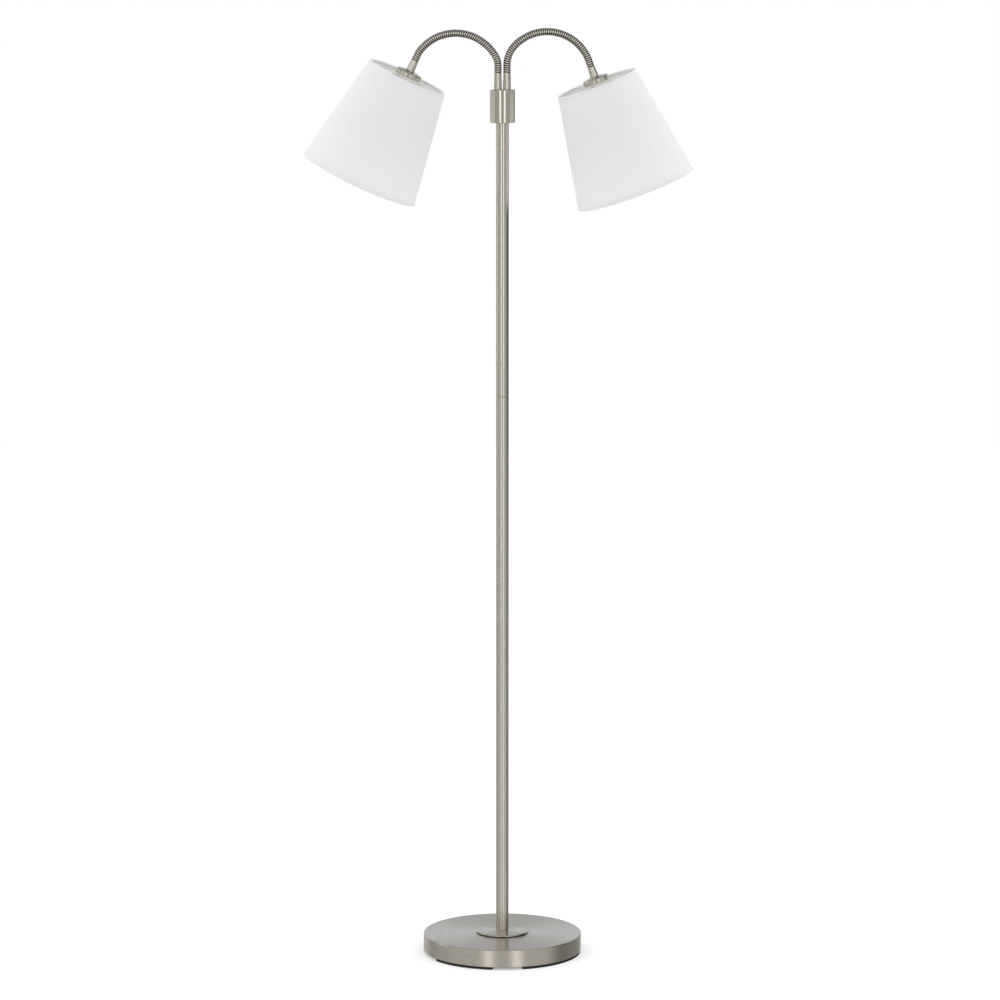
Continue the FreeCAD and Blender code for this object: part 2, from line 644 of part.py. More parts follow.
def flex_piece(arm, index):
    """One ribbed length of the flexible arm, with its bore. Each rib is lofted through four circles."""
    start = arm.piece_start(index)
    ribs = round(arm.piece_length / RIB_PITCH)
    pitch = arm.piece_length / ribs
    end = start + arm.piece_length
    sections = [arm.section(FLEX_END_DIAMETER, start)]
    for rib in range(ribs):
        foot = start + rib * pitch
        sections.append(arm.section(FLEX_ROOT_DIAMETER, foot if rib else start + FLEX_END_BREAK))
        sections.append(arm.section(FLEX_DIAMETER, foot + RIB_RISE * pitch))
        sections.append(arm.section(FLEX_DIAMETER, foot + RIB_FALL * pitch))
        sections.append(arm.section(FLEX_ROOT_DIAMETER, min(foot + RIB_FOOT * pitch, end - FLEX_END_BREAK)))
    sections.append(arm.section(FLEX_END_DIAMETER, end))
    outside = Part.makeLoft(sections, True, True)
    overrun = FLEX_GAP / 2
    bore_stations = [start - overrun] + [start + rib * pitch for rib in range(1, ribs)] + [end + overrun]
    bore = Part.makeLoft([arm.section(ARM_BORE, distance) for distance in bore_stations], True, True)
    return outside.cut(bore)


def lower_ferrule(arm):
    """The tapered sleeve at an arm's foot, with its threaded tail through the collar's cap."""
    x = arm.root.x
    sleeve = Part.makeCone(
        LOWER_FERRULE_FOOT / 2, LOWER_FERRULE_MOUTH / 2, LOWER_FERRULE_LENGTH, Vector(x, 0, COLLAR_TOP)
    )
    tail_end = CAP_BOTTOM - TAIL_NUT_HEIGHT - TAIL_OVERRUN
    tail = cylinder(TAIL_DIAMETER, tail_end, COLLAR_TOP, x)
    return sleeve.fuse(tail).cut(cylinder(ARM_BORE, tail_end - OVERRUN, ARM_FOOT + OVERRUN, x))


def ferrule_nuts():
    """The nuts that hold both arms under the collar's cap."""
    bore = TAIL_DIAMETER + 2 * FIT_CLEARANCE
    bottom = CAP_BOTTOM - TAIL_NUT_HEIGHT
    return Part.makeCompound(
        [hexagon(TAIL_NUT_FLATS, bore, bottom, CAP_BOTTOM, arm.root.x) for arm in ARMS.values()]
    )


def arm_lead(arm):
    """The lead from the connector, through the arm, into the lampholder."""
    return piped(arm.centreline(CONNECTOR_TOP - ARM_FOOT, arm.length + LEAD_END), LEAD_DIAMETER)


# ---- Heads: made about +Z, from the flexible arm's end at level 0 towards the shade's mouth ---
def upper_ferrule():
    """The tapered sleeve over the cup, with its threaded tail through it."""
    sleeve = Part.makeCone(UPPER_FERRULE_MOUTH / 2, UPPER_FERRULE_FOOT / 2, UPPER_FERRULE_LENGTH)
    tail = cylinder(TAIL_DIAMETER, CUP_TOP, UPPER_TAIL_END)
    return sleeve.fuse(tail).cut(cylinder(ARM_BORE, -OVERRUN, UPPER_TAIL_END + OVERRUN))


def cup_body(inset):
    """The cup's outer form, or its hollow when inset by the wall."""
    radius = CUP_DIAMETER / 2 - inset
    top = CUP_TOP + inset
    flat = CUP_FLAT_DIAMETER / 2
    corner = CUP_CORNER_RADIUS - inset / 2
    shoulder = top + CUP_DOME
    dome_middle = ((flat + radius - corner) / 2, top + CUP_DOME / 2 - CUP_DOME_BULGE)
    slant = corner * (1 - math.sqrt(0.5))
    corner_middle = (radius - slant, shoulder + slant)
    edges = polyline([(0, CUP_RIM), (0, top), (flat, top)])
    edges.append(arc((flat, top), dome_middle, (radius - corner, shoulder)))
    edges.append(arc((radius - corner, shoulder), corner_middle, (radius, shoulder + corner)))
    edges += polyline([(radius, shoulder + corner), (radius, CUP_RIM), (0, CUP_RIM)])
    return turned(edges)


def cup():
    """The shallow domed cup above the shade."""
    hole = cylinder(TAIL_DIAMETER + 2 * FIT_CLEARANCE, CUP_TOP - OVERRUN, CUP_TOP + CUP_WALL + OVERRUN)
    return cup_body(0).cut(cup_body(CUP_WALL)).cut(hole)


def lampholder():
    """The socket: its boss is on the ferrule's tail, its flange is clamped in the cup."""
    body = HOLDER_DIAMETER / 2
    flange = HOLDER_FLANGE_DIAMETER / 2
    boss = CUP_FLAT_DIAMETER / 2
    thread = TAIL_DIAMETER / 2 + FIT_CLEARANCE
    lead = ARM_BORE / 2
    socket = SOCKET_DIAMETER / 2
    boss_top = CUP_TOP + CUP_WALL
    flange_top = CUP_RIM - HOLDER_FLANGE_LENGTH
    return turned_polygon(
        [
            (thread, boss_top),
            (boss, boss_top),
            (boss, flange_top),
            (flange, flange_top),
            (flange, CUP_RIM),
            (body, CUP_RIM),
            (body, HOLDER_MOUTH),
            (socket, HOLDER_MOUTH),
            (socket, SOCKET_END),
            (0, SOCKET_END),
            (0, LEAD_END),
            (lead, LEAD_END),
            (lead, UPPER_TAIL_END),
            (thread, UPPER_TAIL_END),
        ]
    )


def shade_radius(level):
    """The shade's outer radius at a level below its top."""
    taper = (SHADE_BOTTOM_DIAMETER - SHADE_TOP_DIAMETER) / 2 / SHADE_HEIGHT
    return SHADE_TOP_DIAMETER / 2 + taper * (level - CUP_RIM)


def shade():
    """The conical fabric shade, open at both ends."""
    top = CUP_RIM
    bottom = CUP_RIM + SHADE_HEIGHT
    slope = math.atan2(shade_radius(bottom) - shade_radius(top), SHADE_HEIGHT)
    wall = SHADE_WALL / math.cos(slope)
    return turned_polygon(
        [
            (shade_radius(top) - wall, top),
            (shade_radius(top), top),
            (shade_radius(bottom), bottom),
            (shade_radius(bottom) - wall, bottom),
        ]
    )


def wire_ring_radius(level):
    """The radius of the middle of a wire ring just inside the shade."""
    slope = math.atan2(SHADE_BOTTOM_DIAMETER - SHADE_TOP_DIAMETER, 2 * SHADE_HEIGHT)
    inset = (SHADE_WALL + WIRE_DIAMETER / 2 + FIT_CLEARANCE) / math.cos(slope)
    return shade_radius(level) - inset


def wire_ring(level):
    """A wire ring just inside the shade."""
    return Part.makeTorus(wire_ring_radius(level), WIRE_DIAMETER / 2, Vector(0, 0, level))


def shade_frame():
    """The shade's carrier: a hub clamped under the cup, three spokes and the top wire ring."""
    hub_bore = HOLDER_DIAMETER + 2 * HOLE_CLEARANCE
    ring_level = CUP_RIM + WIRE_DIAMETER / 2 + WIRE_INSET
    ring = wire_ring(ring_level)
    reach = wire_ring_radius(ring_level)
    frame = tube(HUB_DIAMETER, hub_bore, CUP_RIM, CUP_RIM + HUB_THICKNESS).fuse(ring)
    for i in range(SPOKE_COUNT):
        start = (HUB_DIAMETER - SPOKE_WIDTH) / 2
        spoke = Part.makeBox(
            reach - start, SPOKE_WIDTH, HUB_THICKNESS, Vector(start, -SPOKE_WIDTH / 2, CUP_RIM)
        )
        spoke.rotate(Vector(0, 0, 0), Vector(0, 0, 1), 90 + 360 * i / SPOKE_COUNT)
        frame = frame.fuse(spoke)
    return frame.removeSplitter()


def shade_hem_ring():
    """The wire ring in the shade's lower hem."""
    return wire_ring(CUP_RIM + SHADE_HEIGHT - WIRE_DIAMETER / 2 - WIRE_INSET)


def shade_ring():
    """The threaded ring that clamps the shade's hub up against the cup."""
    top = CUP_RIM + HUB_THICKNESS
    return tube(RING_DIAMETER, HOLDER_DIAMETER + 2 * FIT_CLEARANCE, top, top + RING_HEIGHT)


def bulb_cap():
    """The bulb's metal cap, seated in the socket."""
    shoulder = SOCKET_END + BULB_TIP_LENGTH
    tip = cylinder(BULB_TIP_DIAMETER, SOCKET_END, shoulder)
    return cylinder(BULB_CAP_DIAMETER, shoulder, BULB_CAP_END).fuse(tip)


def bulb_body(inset):
    """The globe's outer form, or its hollow when inset by the wall."""
    foot = BULB_CAP_END
    centre = HOLDER_MOUTH + BULB_CENTRE_REACH
    ball = BULB_DIAMETER / 2 - inset
    neck = BULB_NECK_DIAMETER / 2 - inset
    hollow = BULB_SHOULDER_RADIUS + inset
    drop = math.sqrt((hollow + ball) ** 2 - (hollow + neck) ** 2)
    share = ball / (ball + hollow)
    meeting = ((neck + hollow) * share, centre - drop * share)
    bend = math.atan2(drop, hollow + neck) / 2
    neck_middle = (neck + hollow * (1 - math.cos(bend)), centre - drop + hollow * math.sin(bend))
    tip_angle = (math.atan2(meeting[1] - centre, meeting[0]) + math.pi / 2) / 2
    ball_middle = (ball * math.cos(tip_angle), centre + ball * math.sin(tip_angle))
    tip = (0, centre + ball)
    edges = polyline([(0, foot + inset), (neck, foot + inset), (neck, centre - drop)])
    edges.append(arc((neck, centre - drop), neck_middle, meeting))
    edges.append(arc(meeting, ball_middle, tip))
    edges += polyline([tip, (0, foot + inset)])
    return turned(edges)


def bulb_globe():
    """The bulb's hollow glass."""
    return bulb_body(0).cut(bulb_body(BULB_WALL))


HEAD_PIECES = {
    "upper_ferrule": upper_ferrule,
    "cup": cup,
    "lampholder": lampholder,
    "shade": shade,
    "shade_frame": shade_frame,
    "shade_hem_ring": shade_hem_ring,
    "shade_ring": shade_ring,
    "bulb_cap": bulb_cap,
    "bulb_globe": bulb_globe,
}

ARMS = {"left": Arm(-1, LEFT_ARCH), "right": Arm(1, RIGHT_ARCH)}


def stand_pieces():
    """Everything from the floor to the collar's cap."""
    return {
        "base_cover": base_cover(),
        "base_weight": base_weight(),
        "base_plate": base_plate(),
        "plate_screws": plate_screws(),
        "foot_pads": foot_pads(),
        "cable_gland": cable_gland(),
        "gland_nut": gland_nut(),
        "terminal_block": terminal_block(),
        "pole_flange": pole_flange(),
        "flange_seat": flange_seat(),
        "pole_stud": pole_stud(),
        "stud_nuts": stud_nuts(),
        "stud_washer": stud_washer(),
        "pole_foot_plug": pole_plug(FLANGE_TOP),
        "lower_pole": pole_tube(FLANGE_TOP, LOWER_POLE_TOP),
        "pole_coupler": pole_coupler(),
        "upper_pole": pole_tube(UPPER_POLE_BOTTOM, UPPER_POLE_TOP),
        "pole_top_plug": pole_plug(UPPER_POLE_TOP - PLUG_LENGTH),
        "collar": collar(),
        "collar_cap": collar_cap(),
        "collar_stud": collar_stud(),
        "ferrule_nuts": ferrule_nuts(),
        "wire_connector": wire_connector(),
        "pole_lead": pole_lead(),
    }


def arm_pieces(side, arm):
    """Everything from one lower ferrule to its bulb."""
    pieces = {
        f"{side}_lower_ferrule": lower_ferrule(arm),
        f"{side}_arm_lead": arm_lead(arm),
    }
    for index in range(FLEX_PIECES):
        pieces[f"{side}_flex_{index + 1}"] = flex_piece(arm, index)
    for name, make in HEAD_PIECES.items():
        pieces[f"{side}_{name}"] = arm.place_head(make())
    return pieces


def all_pieces():
    """Every node of the lamp, by name."""
    pieces = stand_pieces()
    for side, arm in ARMS.items():
        pieces.update(arm_pieces(side, arm))
    return pieces


PIECES = all_pieces()
os.makedirs("parts", exist_ok=True)
for node, shape in PIECES.items():
    if not shape.isValid():
        raise ValueError(f"{node} is not a valid shape")
    shape.exportStep(f"parts/{node}.step")
print(f"{len(PIECES)} nodes")
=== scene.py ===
"""Looks of the twin-arm gooseneck floor lamp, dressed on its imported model.

The scene is in metres, in the model's own frame: the origin is on the floor on the pole's axis, +Z is up and
-Y is the front. Sizes of pieces are written in millimetres, as a maker would write them.
"""

import json
import logging
import math
from collections.abc import Sequence
from dataclasses import dataclass
from enum import Enum
from typing import Any

import bmesh
import bpy
from mathutils import Matrix, Vector

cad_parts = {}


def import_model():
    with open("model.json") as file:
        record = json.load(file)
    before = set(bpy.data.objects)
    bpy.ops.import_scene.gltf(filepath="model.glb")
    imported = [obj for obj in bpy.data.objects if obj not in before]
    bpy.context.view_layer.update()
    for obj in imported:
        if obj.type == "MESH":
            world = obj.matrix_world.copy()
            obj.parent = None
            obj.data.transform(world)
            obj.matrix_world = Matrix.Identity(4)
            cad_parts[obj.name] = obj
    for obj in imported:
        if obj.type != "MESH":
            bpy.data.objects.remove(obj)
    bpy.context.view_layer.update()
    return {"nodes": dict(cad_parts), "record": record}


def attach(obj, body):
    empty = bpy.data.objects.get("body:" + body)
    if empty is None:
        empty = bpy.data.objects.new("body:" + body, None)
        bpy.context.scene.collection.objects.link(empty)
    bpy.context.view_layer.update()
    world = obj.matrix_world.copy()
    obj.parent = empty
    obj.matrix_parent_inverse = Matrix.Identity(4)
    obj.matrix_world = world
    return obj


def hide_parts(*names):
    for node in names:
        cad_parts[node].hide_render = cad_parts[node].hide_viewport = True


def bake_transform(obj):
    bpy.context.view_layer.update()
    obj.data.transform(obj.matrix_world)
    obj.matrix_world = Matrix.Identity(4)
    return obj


LOG = logging.getLogger("lamp")
MM = 0.001
UPRIGHT = Matrix.Identity(4)

# Millimetres that more than one sub-assembly uses: radii, and how deep a tube sits in a ferrule's mouth.
ROD_HOLE = 5.1
LEAD_HOLE = 3.0
FERRULE_THREAD = 4.0
TUBE_SEAT = 4.1
SEAT_DEPTH = 1.2

Point = tuple[float, float]
Outline = Sequence[tuple[float, ...]]  # rows that Corner reads
Inputs = dict[str | int, Any]
Socket = bpy.types.NodeSocket
Material = bpy.types.Material
Piece = bpy.types.Object
Shape = bmesh.types.BMesh


class Slot(Enum):
    """The material slots of the record."""

    NICKEL = "satin_nickel"
    IRON = "cast_iron"
    PLATE = "black_plate"
    ZINC = "zinc_steel"
    RUBBER = "pad_rubber"
    NYLON = "black_nylon"
    FIBRE_WITH_PAINTED_SHADE = "fibre_washer"
    SHEATH = "lead_sheath"
    CONNECTOR = "connector_plastic"
    THERMOSET = "white_thermoset"
    CLOTH = "shade_fabric"
    WIRE = "white_wire"
    CAP = "bulb_metal"
    OPAL = "opal_glass"


# ---- Nodes and colours ----


def linear(hex_colour: str) -> tuple[float, float, float, float]:
    """Turns an sRGB colour, six hex digits after a hash, into linear RGBA."""
    channels = [int(hex_colour[i : i + 2], 16) / 255 for i in (1, 3, 5)]
    red, green, blue = (c / 12.92 if c <= 0.04045 else ((c + 0.055) / 1.055) ** 2.4 for c in channels)
    return red, green, blue, 1.0


class Nodes:
    """A node tree, with short ways to add to it."""

    def __init__(self, tree: bpy.types.NodeTree) -> None:
        """Holds the tree."""
        self.tree = tree

    def add(self, kind: str, inputs: Inputs | None = None, **settings: Any) -> bpy.types.Node:
        """Adds a node.

        Args:
            kind: The node's type name.
            inputs: Values, or sockets to link from, by the input's name or number.
            **settings: The node's own properties.

        Returns:
            The new node.
        """
        node = self.tree.nodes.new(kind)
        for name, value in settings.items():
            setattr(node, name, value)
        for key, value in (inputs or {}).items():
            if isinstance(value, Socket):
                self.tree.links.new(value, node.inputs[key])
            else:
                node.inputs[key].default_value = value
        return node

    def out(self, kind: str, inputs: Inputs | None = None, **settings: Any) -> Socket:
        """Adds a node and returns its first output."""
        return self.add(kind, inputs, **settings).outputs[0]

    def math(self, operation: str, *values: Any) -> Socket:
        """Adds a math node and returns its result."""
        return self.out("ShaderNodeMath", dict(enumerate(values)), operation=operation)

    def scaled(self, vector: Any, factor: Socket) -> Socket:
        """A vector or a colour times a factor."""
        return self.out("ShaderNodeVectorMath", {0: vector, "Scale": factor}, operation="SCALE")

    def mix(self, share: Socket, first: Any, second: Any) -> Socket:
        """Blends two numbers."""
        return self.out("ShaderNodeMix", {0: share, 2: first, 3: second}, data_type="FLOAT")

    def mix_colours(self, share: Socket, first: Any, second: Any) -> Socket:
        """Blends two colours."""
        return self.add("ShaderNodeMix", {0: share, 6: first, 7: second}, data_type="RGBA").outputs[2]

    def split(self, vector: Socket) -> list[Socket]:
        """The three parts of a vector."""
        return list(self.add("ShaderNodeSeparateXYZ", {0: vector}).outputs)

    def join(self, *parts: Any) -> Socket:
        """A vector from its parts."""
        return self.out("ShaderNodeCombineXYZ", dict(enumerate(parts)))

    def spread(
        self, value: Socket, low: float, high: float, start: float = 0, end: float = 1, way: str = "LINEAR"
    ) -> Socket:
        """Maps a value that goes from start to end onto low to high, held at both ends."""
        inputs = {"Value": value, "From Min": start, "From Max": end, "To Min": low, "To Max": high}
        return self.out("ShaderNodeMapRange", inputs, interpolation_type=way)

    def step(self, value: Socket, start: float, end: float, low: float = 0, high: float = 1) -> Socket:
        """A soft step from low at start to high at end."""
        return self.spread(value, low, high, start, end, "SMOOTHSTEP")


class FinishNodes(Nodes):
    """The nodes of a new material."""

    def __init__(self, name: str) -> None:
        """Makes the material, empty, under a name."""
        self.material = bpy.data.materials.new(name)
        self.material.use_nodes = True
        super().__init__(self.material.node_tree)
        self.tree.nodes.clear()

    def position(self, place: Matrix = UPRIGHT) -> Socket:
        """Object coordinates as seen from a piece's own place."""
        inputs = {"Location": place.to_translation(), "Rotation": place.to_euler()}
        inputs["Vector"] = self.add("ShaderNodeTexCoord").outputs["Object"]
        return self.out("ShaderNodeMapping", inputs, vector_type="TEXTURE")

    def noise(self, vector: Socket, scale: float, detail: float, rough: float = 0.5, **more: Socket) -> Socket:
        """Uneven noise between 0 and 1, four-dimensional where a W is given."""
        inputs = {"Vector": vector, "Scale": scale, "Detail": detail, "Roughness": rough, **more}
        return self.add("ShaderNodeTexNoise", inputs, noise_dimensions="4D" if more else "3D").outputs["Fac"]

    def toned(self, colour: str, value: Socket, swing: float, start: float = 0, end: float = 1) -> Socket:
        """A colour made darker and lighter by a share, as a value goes from start to end."""
        return self.scaled(linear(colour)[:3], self.spread(value, 1 - swing, 1 + swing, start, end))

    def bump(self, height: Socket, strength: float, depth_mm: float) -> Socket:
        """The normal of a fine relief."""
        return self.out("ShaderNodeBump", {"Height": height, "Strength": strength, "Distance": depth_mm * MM})

    def close(self, shader: Socket) -> Material:
        """Ends the tree in a shader and returns the material."""
        self.add("ShaderNodeOutputMaterial", {"Surface": shader})
        return self.material

    def surface(self, inputs: Inputs) -> Material:
        """Ends the tree in a surface and returns the material."""
        return self.close(self.out("ShaderNodeBsdfPrincipled", inputs))


# ---- Finishes ----


@dataclass(frozen=True)
class SatinNickel:
    """Steel, nickel plated and brushed round its axis: the fine lines smear reflections along the axis."""

    colour: str = "#CBC6B9"
    roughness: float = 0.2
    roughness_swing: float = 0.04
    anisotropy: float = 0.75
    line_spacing_mm: float = 0.5  # real brushing is finer; this is as coarse as it needs to show
    face_spacing_mm: float = 0.5  # the same, on faces square to the axis
    line_tone: float = 0.03
    line_depth_mm: float = 0.001

    def material(self, name: str, place: Matrix = UPRIGHT) -> Material:
        """Makes the finish for a piece turned about its own Z axis.

        Args:
            name: The material's name.
            place: Where the piece's axis stands.

        Returns:
            The material.
        """
        nodes = FinishNodes(name)
        x, y, level = nodes.split(nodes.position(place))
        across = nodes.join(x, y)
        radius = nodes.add("ShaderNodeVectorMath", {0: across}, operation="LENGTH").outputs["Value"]
        turn = nodes.split(nodes.out("ShaderNodeVectorMath", {0: across}, operation="NORMALIZE"))
        stroke = nodes.join(
            nodes.math("MULTIPLY", radius, 1 / (self.face_spacing_mm * MM)),
            nodes.math("MULTIPLY", level, 1 / (self.line_spacing_mm * MM)),
            turn[0],
        )
        lines = nodes.noise(stroke, 1.0, 3.0, 0.6, W=turn[1])
        swing = self.roughness_swing / 2
        return nodes.surface({
            "Base Color": nodes.toned(self.colour, lines, self.line_tone),
            "Metallic": 1.0,
            "Roughness": nodes.spread(lines, self.roughness - swing, self.roughness + swing),
            "Anisotropic": self.anisotropy,
            "Tangent": self.smear(nodes, turn, place),
            "Normal": nodes.bump(lines, 0.5, self.line_depth_mm),
        })

    @staticmethod
    def smear(nodes: Nodes, turn: Sequence[Socket], place: Matrix) -> Socket:
        """The direction across the brushed lines, in which a highlight is drawn out.

        Args:
            nodes: The material's nodes.
            turn: The unit direction away from the piece's axis.
            place: Where the piece's axis stands.

        Returns:
            The direction, in the scene's frame.
        """
        along = nodes.join(nodes.math("MULTIPLY", turn[1], -1.0), turn[0])
        inputs = {"Vector": along, "Rotation": place.to_euler()}
        turned = nodes.out("ShaderNodeMapping", inputs, vector_type="VECTOR")
        spaces = {"vector_type": "VECTOR", "convert_from": "OBJECT", "convert_to": "WORLD"}
        world = nodes.out("ShaderNodeVectorTransform", {0: turned}, **spaces)
        normal = nodes.add("ShaderNodeNewGeometry").outputs["Normal"]
        return nodes.out("ShaderNodeVectorMath", {0: normal, 1: world}, operation="CROSS_PRODUCT")


@dataclass(frozen=True)
class Grained:
    """A plain moulded, painted, cast or plated surface with a fine uneven grain."""

    colour: str
    roughness: float
    metallic: float = 0.0
    grain_mm: float = 0.8
    depth_mm: float = 0.02
    tone: float = 0.08
    roughness_swing: float = 0.1
    coat: float = 0.0
    subsurface: float = 0.0
    light_reach_mm: float = 1.5

    def material(self, name: str) -> Material:
        """Makes the finish under a name."""
        nodes = FinishNodes(name)
        grain = nodes.noise(nodes.position(), 1 / (self.grain_mm * MM), 3.0, 0.55)
        swing = self.roughness_swing / 2
        return nodes.surface({
            "Base Color": nodes.toned(self.colour, grain, self.tone),
            "Metallic": self.metallic,
            "Roughness": nodes.spread(grain, self.roughness - swing, self.roughness + swing),
            "Normal": nodes.bump(grain, 0.6, self.depth_mm),
            "Coat Weight": self.coat,
            "Subsurface Weight": self.subsurface,
            "Subsurface Radius": (1.0, 1.0, 1.0),
            "Subsurface Scale": self.light_reach_mm * MM,
        })


@dataclass(frozen=True)
class CoiledSteel:
    """Nickel plated steel strip wound into a flexible tube: bright plating on the crests, and near-black
    painted shade where the turns meet, which is no colour of the steel.
    """

    crest: str = "#D6D1C5"
    # Near black: painted shade in the hollows between the turns.
    painted_groove_shade: str = "#0E0D0C"
    roughness: float = 0.2
    painted_groove_shade_roughness: float = 0.55
    grain_mm: float = 0.6
    wear: float = 0.07

    def material(self, name: str) -> Material:
        """Makes the finish for a tube whose attribute "groove" is 1 between its turns."""
        nodes = FinishNodes(name)
        painted_groove_shade = nodes.add("ShaderNodeAttribute", attribute_name="painted_groove_shade").outputs["Fac"]
        grain = nodes.noise(nodes.position(), 1 / (self.grain_mm * MM), 2.0)
        # Plating colour on the crests, blended to the near-black painted shade in the hollows between turns.
        colour = nodes.mix_colours(painted_groove_shade, linear(self.crest), linear(self.painted_groove_shade))
        return nodes.surface({
            "Base Color": nodes.scaled(colour, nodes.spread(grain, 1 - self.wear, 1 + self.wear)),
            "Metallic": 1.0,
            "Roughness": nodes.spread(painted_groove_shade, self.roughness, self.painted_groove_shade_roughness),
        })


@dataclass(frozen=True)
class WovenCloth:
    """Plain-woven cotton on a stiff liner: matt, with a slight slub in warp and weft."""

    colour: str = "#EFEEF5"
    thread_mm: float = 0.9  # real thread is about half of this, which would be too fine to show
    depth_mm: float = 0.05
    tone: float = 0.035
    slub_length_mm: float = 14.0
    roughness: float = 0.85
    sheen: float = 0.15
    translucency: float = 0.95
    light_reach_mm: float = 3.0

    def material(self, name: str) -> Material:
        """Makes the cloth for a piece whose UV map is laid out in metres along warp and weft."""
        nodes = FinishNodes(name)
        uv = nodes.add("ShaderNodeTexCoord").outputs["UV"]
        waves, slubs = [], []
        for axis, along in enumerate(nodes.split(uv)[:2]):
            waves.append(nodes.math("SINE", nodes.math("MULTIPLY", along, math.pi / (self.thread_mm * MM))))
            stretch = [1 / (self.thread_mm * MM)] * 2
            stretch[axis] = 1 / (self.slub_length_mm * MM)
            apart = (3.7 * axis, 1.9 * axis, 0)  # so that the two ways differ
            inputs = {"Vector": uv, "Location": apart, "Scale": (*stretch, 1)}
            slubs.append(nodes.noise(nodes.out("ShaderNodeMapping", inputs), 0.6, 2.0))
        height = nodes.math("MULTIPLY_ADD", nodes.math("MULTIPLY", *waves), 0.5, nodes.math("ADD", *slubs))
        return nodes.surface({
            "Base Color": nodes.toned(self.colour, height, self.tone, 0.3, 1.7),
            "Roughness": self.roughness,
            "Sheen Weight": self.sheen,
            "Subsurface Weight": self.translucency,
            "Subsurface Radius": (1.0, 1.0, 1.0),
            "Subsurface Scale": self.light_reach_mm * MM,
            "Normal": nodes.bump(height, 0.5, self.depth_mm),
        })


NICKEL = SatinNickel()
SPUN_NICKEL = SatinNickel(
    "#C9C2B5", roughness=0.3, line_spacing_mm=2.2, face_spacing_mm=7.0, line_tone=0.16, line_depth_mm=0.005
)
PLAIN_FINISHES = {
    Slot.IRON: Grained("#3B3A39", 0.7, metallic=0.4, grain_mm=1.6, depth_mm=0.15),
    Slot.PLATE: Grained("#1C1C1D", 0.5, grain_mm=0.7, depth_mm=0.02),
    Slot.ZINC: Grained("#C4C6C8", 0.32, metallic=1.0, grain_mm=0.4, depth_mm=0.006),
    Slot.RUBBER: Grained("#1A1A1A", 0.75, grain_mm=0.6, depth_mm=0.03),
    Slot.NYLON: Grained("#1B1B1C", 0.42, grain_mm=0.5, depth_mm=0.015),
    # Near black: partly the fibre washer's own colour, partly painted shade for the dark line under the flange.
    Slot.FIBRE_WITH_PAINTED_SHADE: Grained("#232120", 0.85, grain_mm=0.5, depth_mm=0.03),
    Slot.SHEATH: Grained("#DEDCD6", 0.5, grain_mm=1.5, depth_mm=0.02),
    Slot.CONNECTOR: Grained("#E4E0D2", 0.4, grain_mm=0.6, depth_mm=0.01),
    Slot.THERMOSET: Grained("#E9E7E0", 0.3, grain_mm=0.9, depth_mm=0.01, tone=0.03, coat=0.3),
    Slot.WIRE: Grained("#EDEDEB", 0.35, grain_mm=0.9, depth_mm=0.02, coat=0.2),
    Slot.CAP: Grained("#CFCFCD", 0.3, metallic=1.0, grain_mm=0.5, depth_mm=0.006),
    Slot.OPAL: Grained("#F4F3EE", 0.14, grain_mm=6.0, depth_mm=0.004, tone=0.01, coat=0.4, subsurface=0.2),
}
LINER = Grained("#F8F8F6", 0.45, grain_mm=1.2, depth_mm=0.01, tone=0.01, subsurface=0.95, light_reach_mm=3.0)
TAPE = WovenCloth(colour="#EDEDF2", thread_mm=0.7, translucency=0.0)


# ---- Shapes ----


@dataclass(frozen=True)
class Corner:
    """A corner of a turned outline: radius and level in millimetres, and the fillet that rounds it."""

    radius: float
    level: float
    fillet: float = 0.0
    steps: int = 6

    def point(self) -> Vector:
        """The corner as a 2D vector."""
        return Vector((self.radius, self.level))


def rounded(outline: Outline, closed: bool) -> list[Point]:
    """Rounds an outline's corners with tangent arcs.

    Args:
        outline: The corners in order.
        closed: Whether the last corner joins the first.

    Returns:
        Points along the rounded outline.
    """
    corners = [Corner(*row) for row in outline]
    points: list[Point] = []
    for index, corner in enumerate(corners):
        here = corner.point()
        if corner.fillet <= 0 or (not closed and index in (0, len(corners) - 1)):
            points.append((here.x, here.y))
            continue
        to_last = (corners[index - 1].point() - here).normalized()
        to_next = (corners[(index + 1) % len(corners)].point() - here).normalized()
        opening = math.acos(max(-1.0, min(1.0, to_last.dot(to_next))))
        centre = here + (to_last + to_next).normalized() * (corner.fillet / math.sin(opening / 2))
        first = here + to_last * (corner.fillet / math.tan(opening / 2)) - centre
        side = 1.0 if to_last.x * to_next.y - to_last.y * to_next.x < 0 else -1.0
        for step in range(corner.steps + 1):
            angle = side * (math.pi - opening) * step / corner.steps
            cos, sin = math.cos(angle), math.sin(angle)
            points.append((centre.x + first.x * cos - first.y * sin, centre.y + first.x * sin + first.y * cos))
    return points


def supported(outline: Sequence[Point], closed: bool, longest: float = 4.0, reach: float = 0.6) -> list[Point]:
    """Adds a point near both ends of each long run, so that its faces shade true beside a fillet.

    Args:
        outline: The outline's points.
        closed: Whether the last point joins the first.
        longest: Runs up to this long stay as they are.
        reach: How far from a run's ends the points stand.

    Returns:
        The outline with the points added.
    """
    points: list[Point] = []
    following = [*outline[1:], outline[0]]
    for index, (here, there) in enumerate(zip(outline, following)):
        points.append(here)
        start, end = Vector(here), Vector(there)
        run = (end - start).length
        if run > longest and (closed or index < len(outline) - 1):
            for share in (reach / run, 1 - reach / run):
                place = start.lerp(end, share)
                points.append((place.x, place.y))
    return points


def thread(turn: Outline, start: float, end: float, pitch: float) -> list[tuple[float, ...]]:
    """The outline of a thread.

    Args:
        turn: The corners of one turn, each level a share of the pitch.
        start: The thread's first level.
        end: The level that its last turn stays below.
        pitch: The height of a turn.

    Returns:
        The corners of all turns.
    """
    corners = []
    level = start
    while level + pitch < end:
        corners += [(radius, level + pitch * share, *fillet) for radius, share, *fillet in turn]
        level += pitch
    return corners


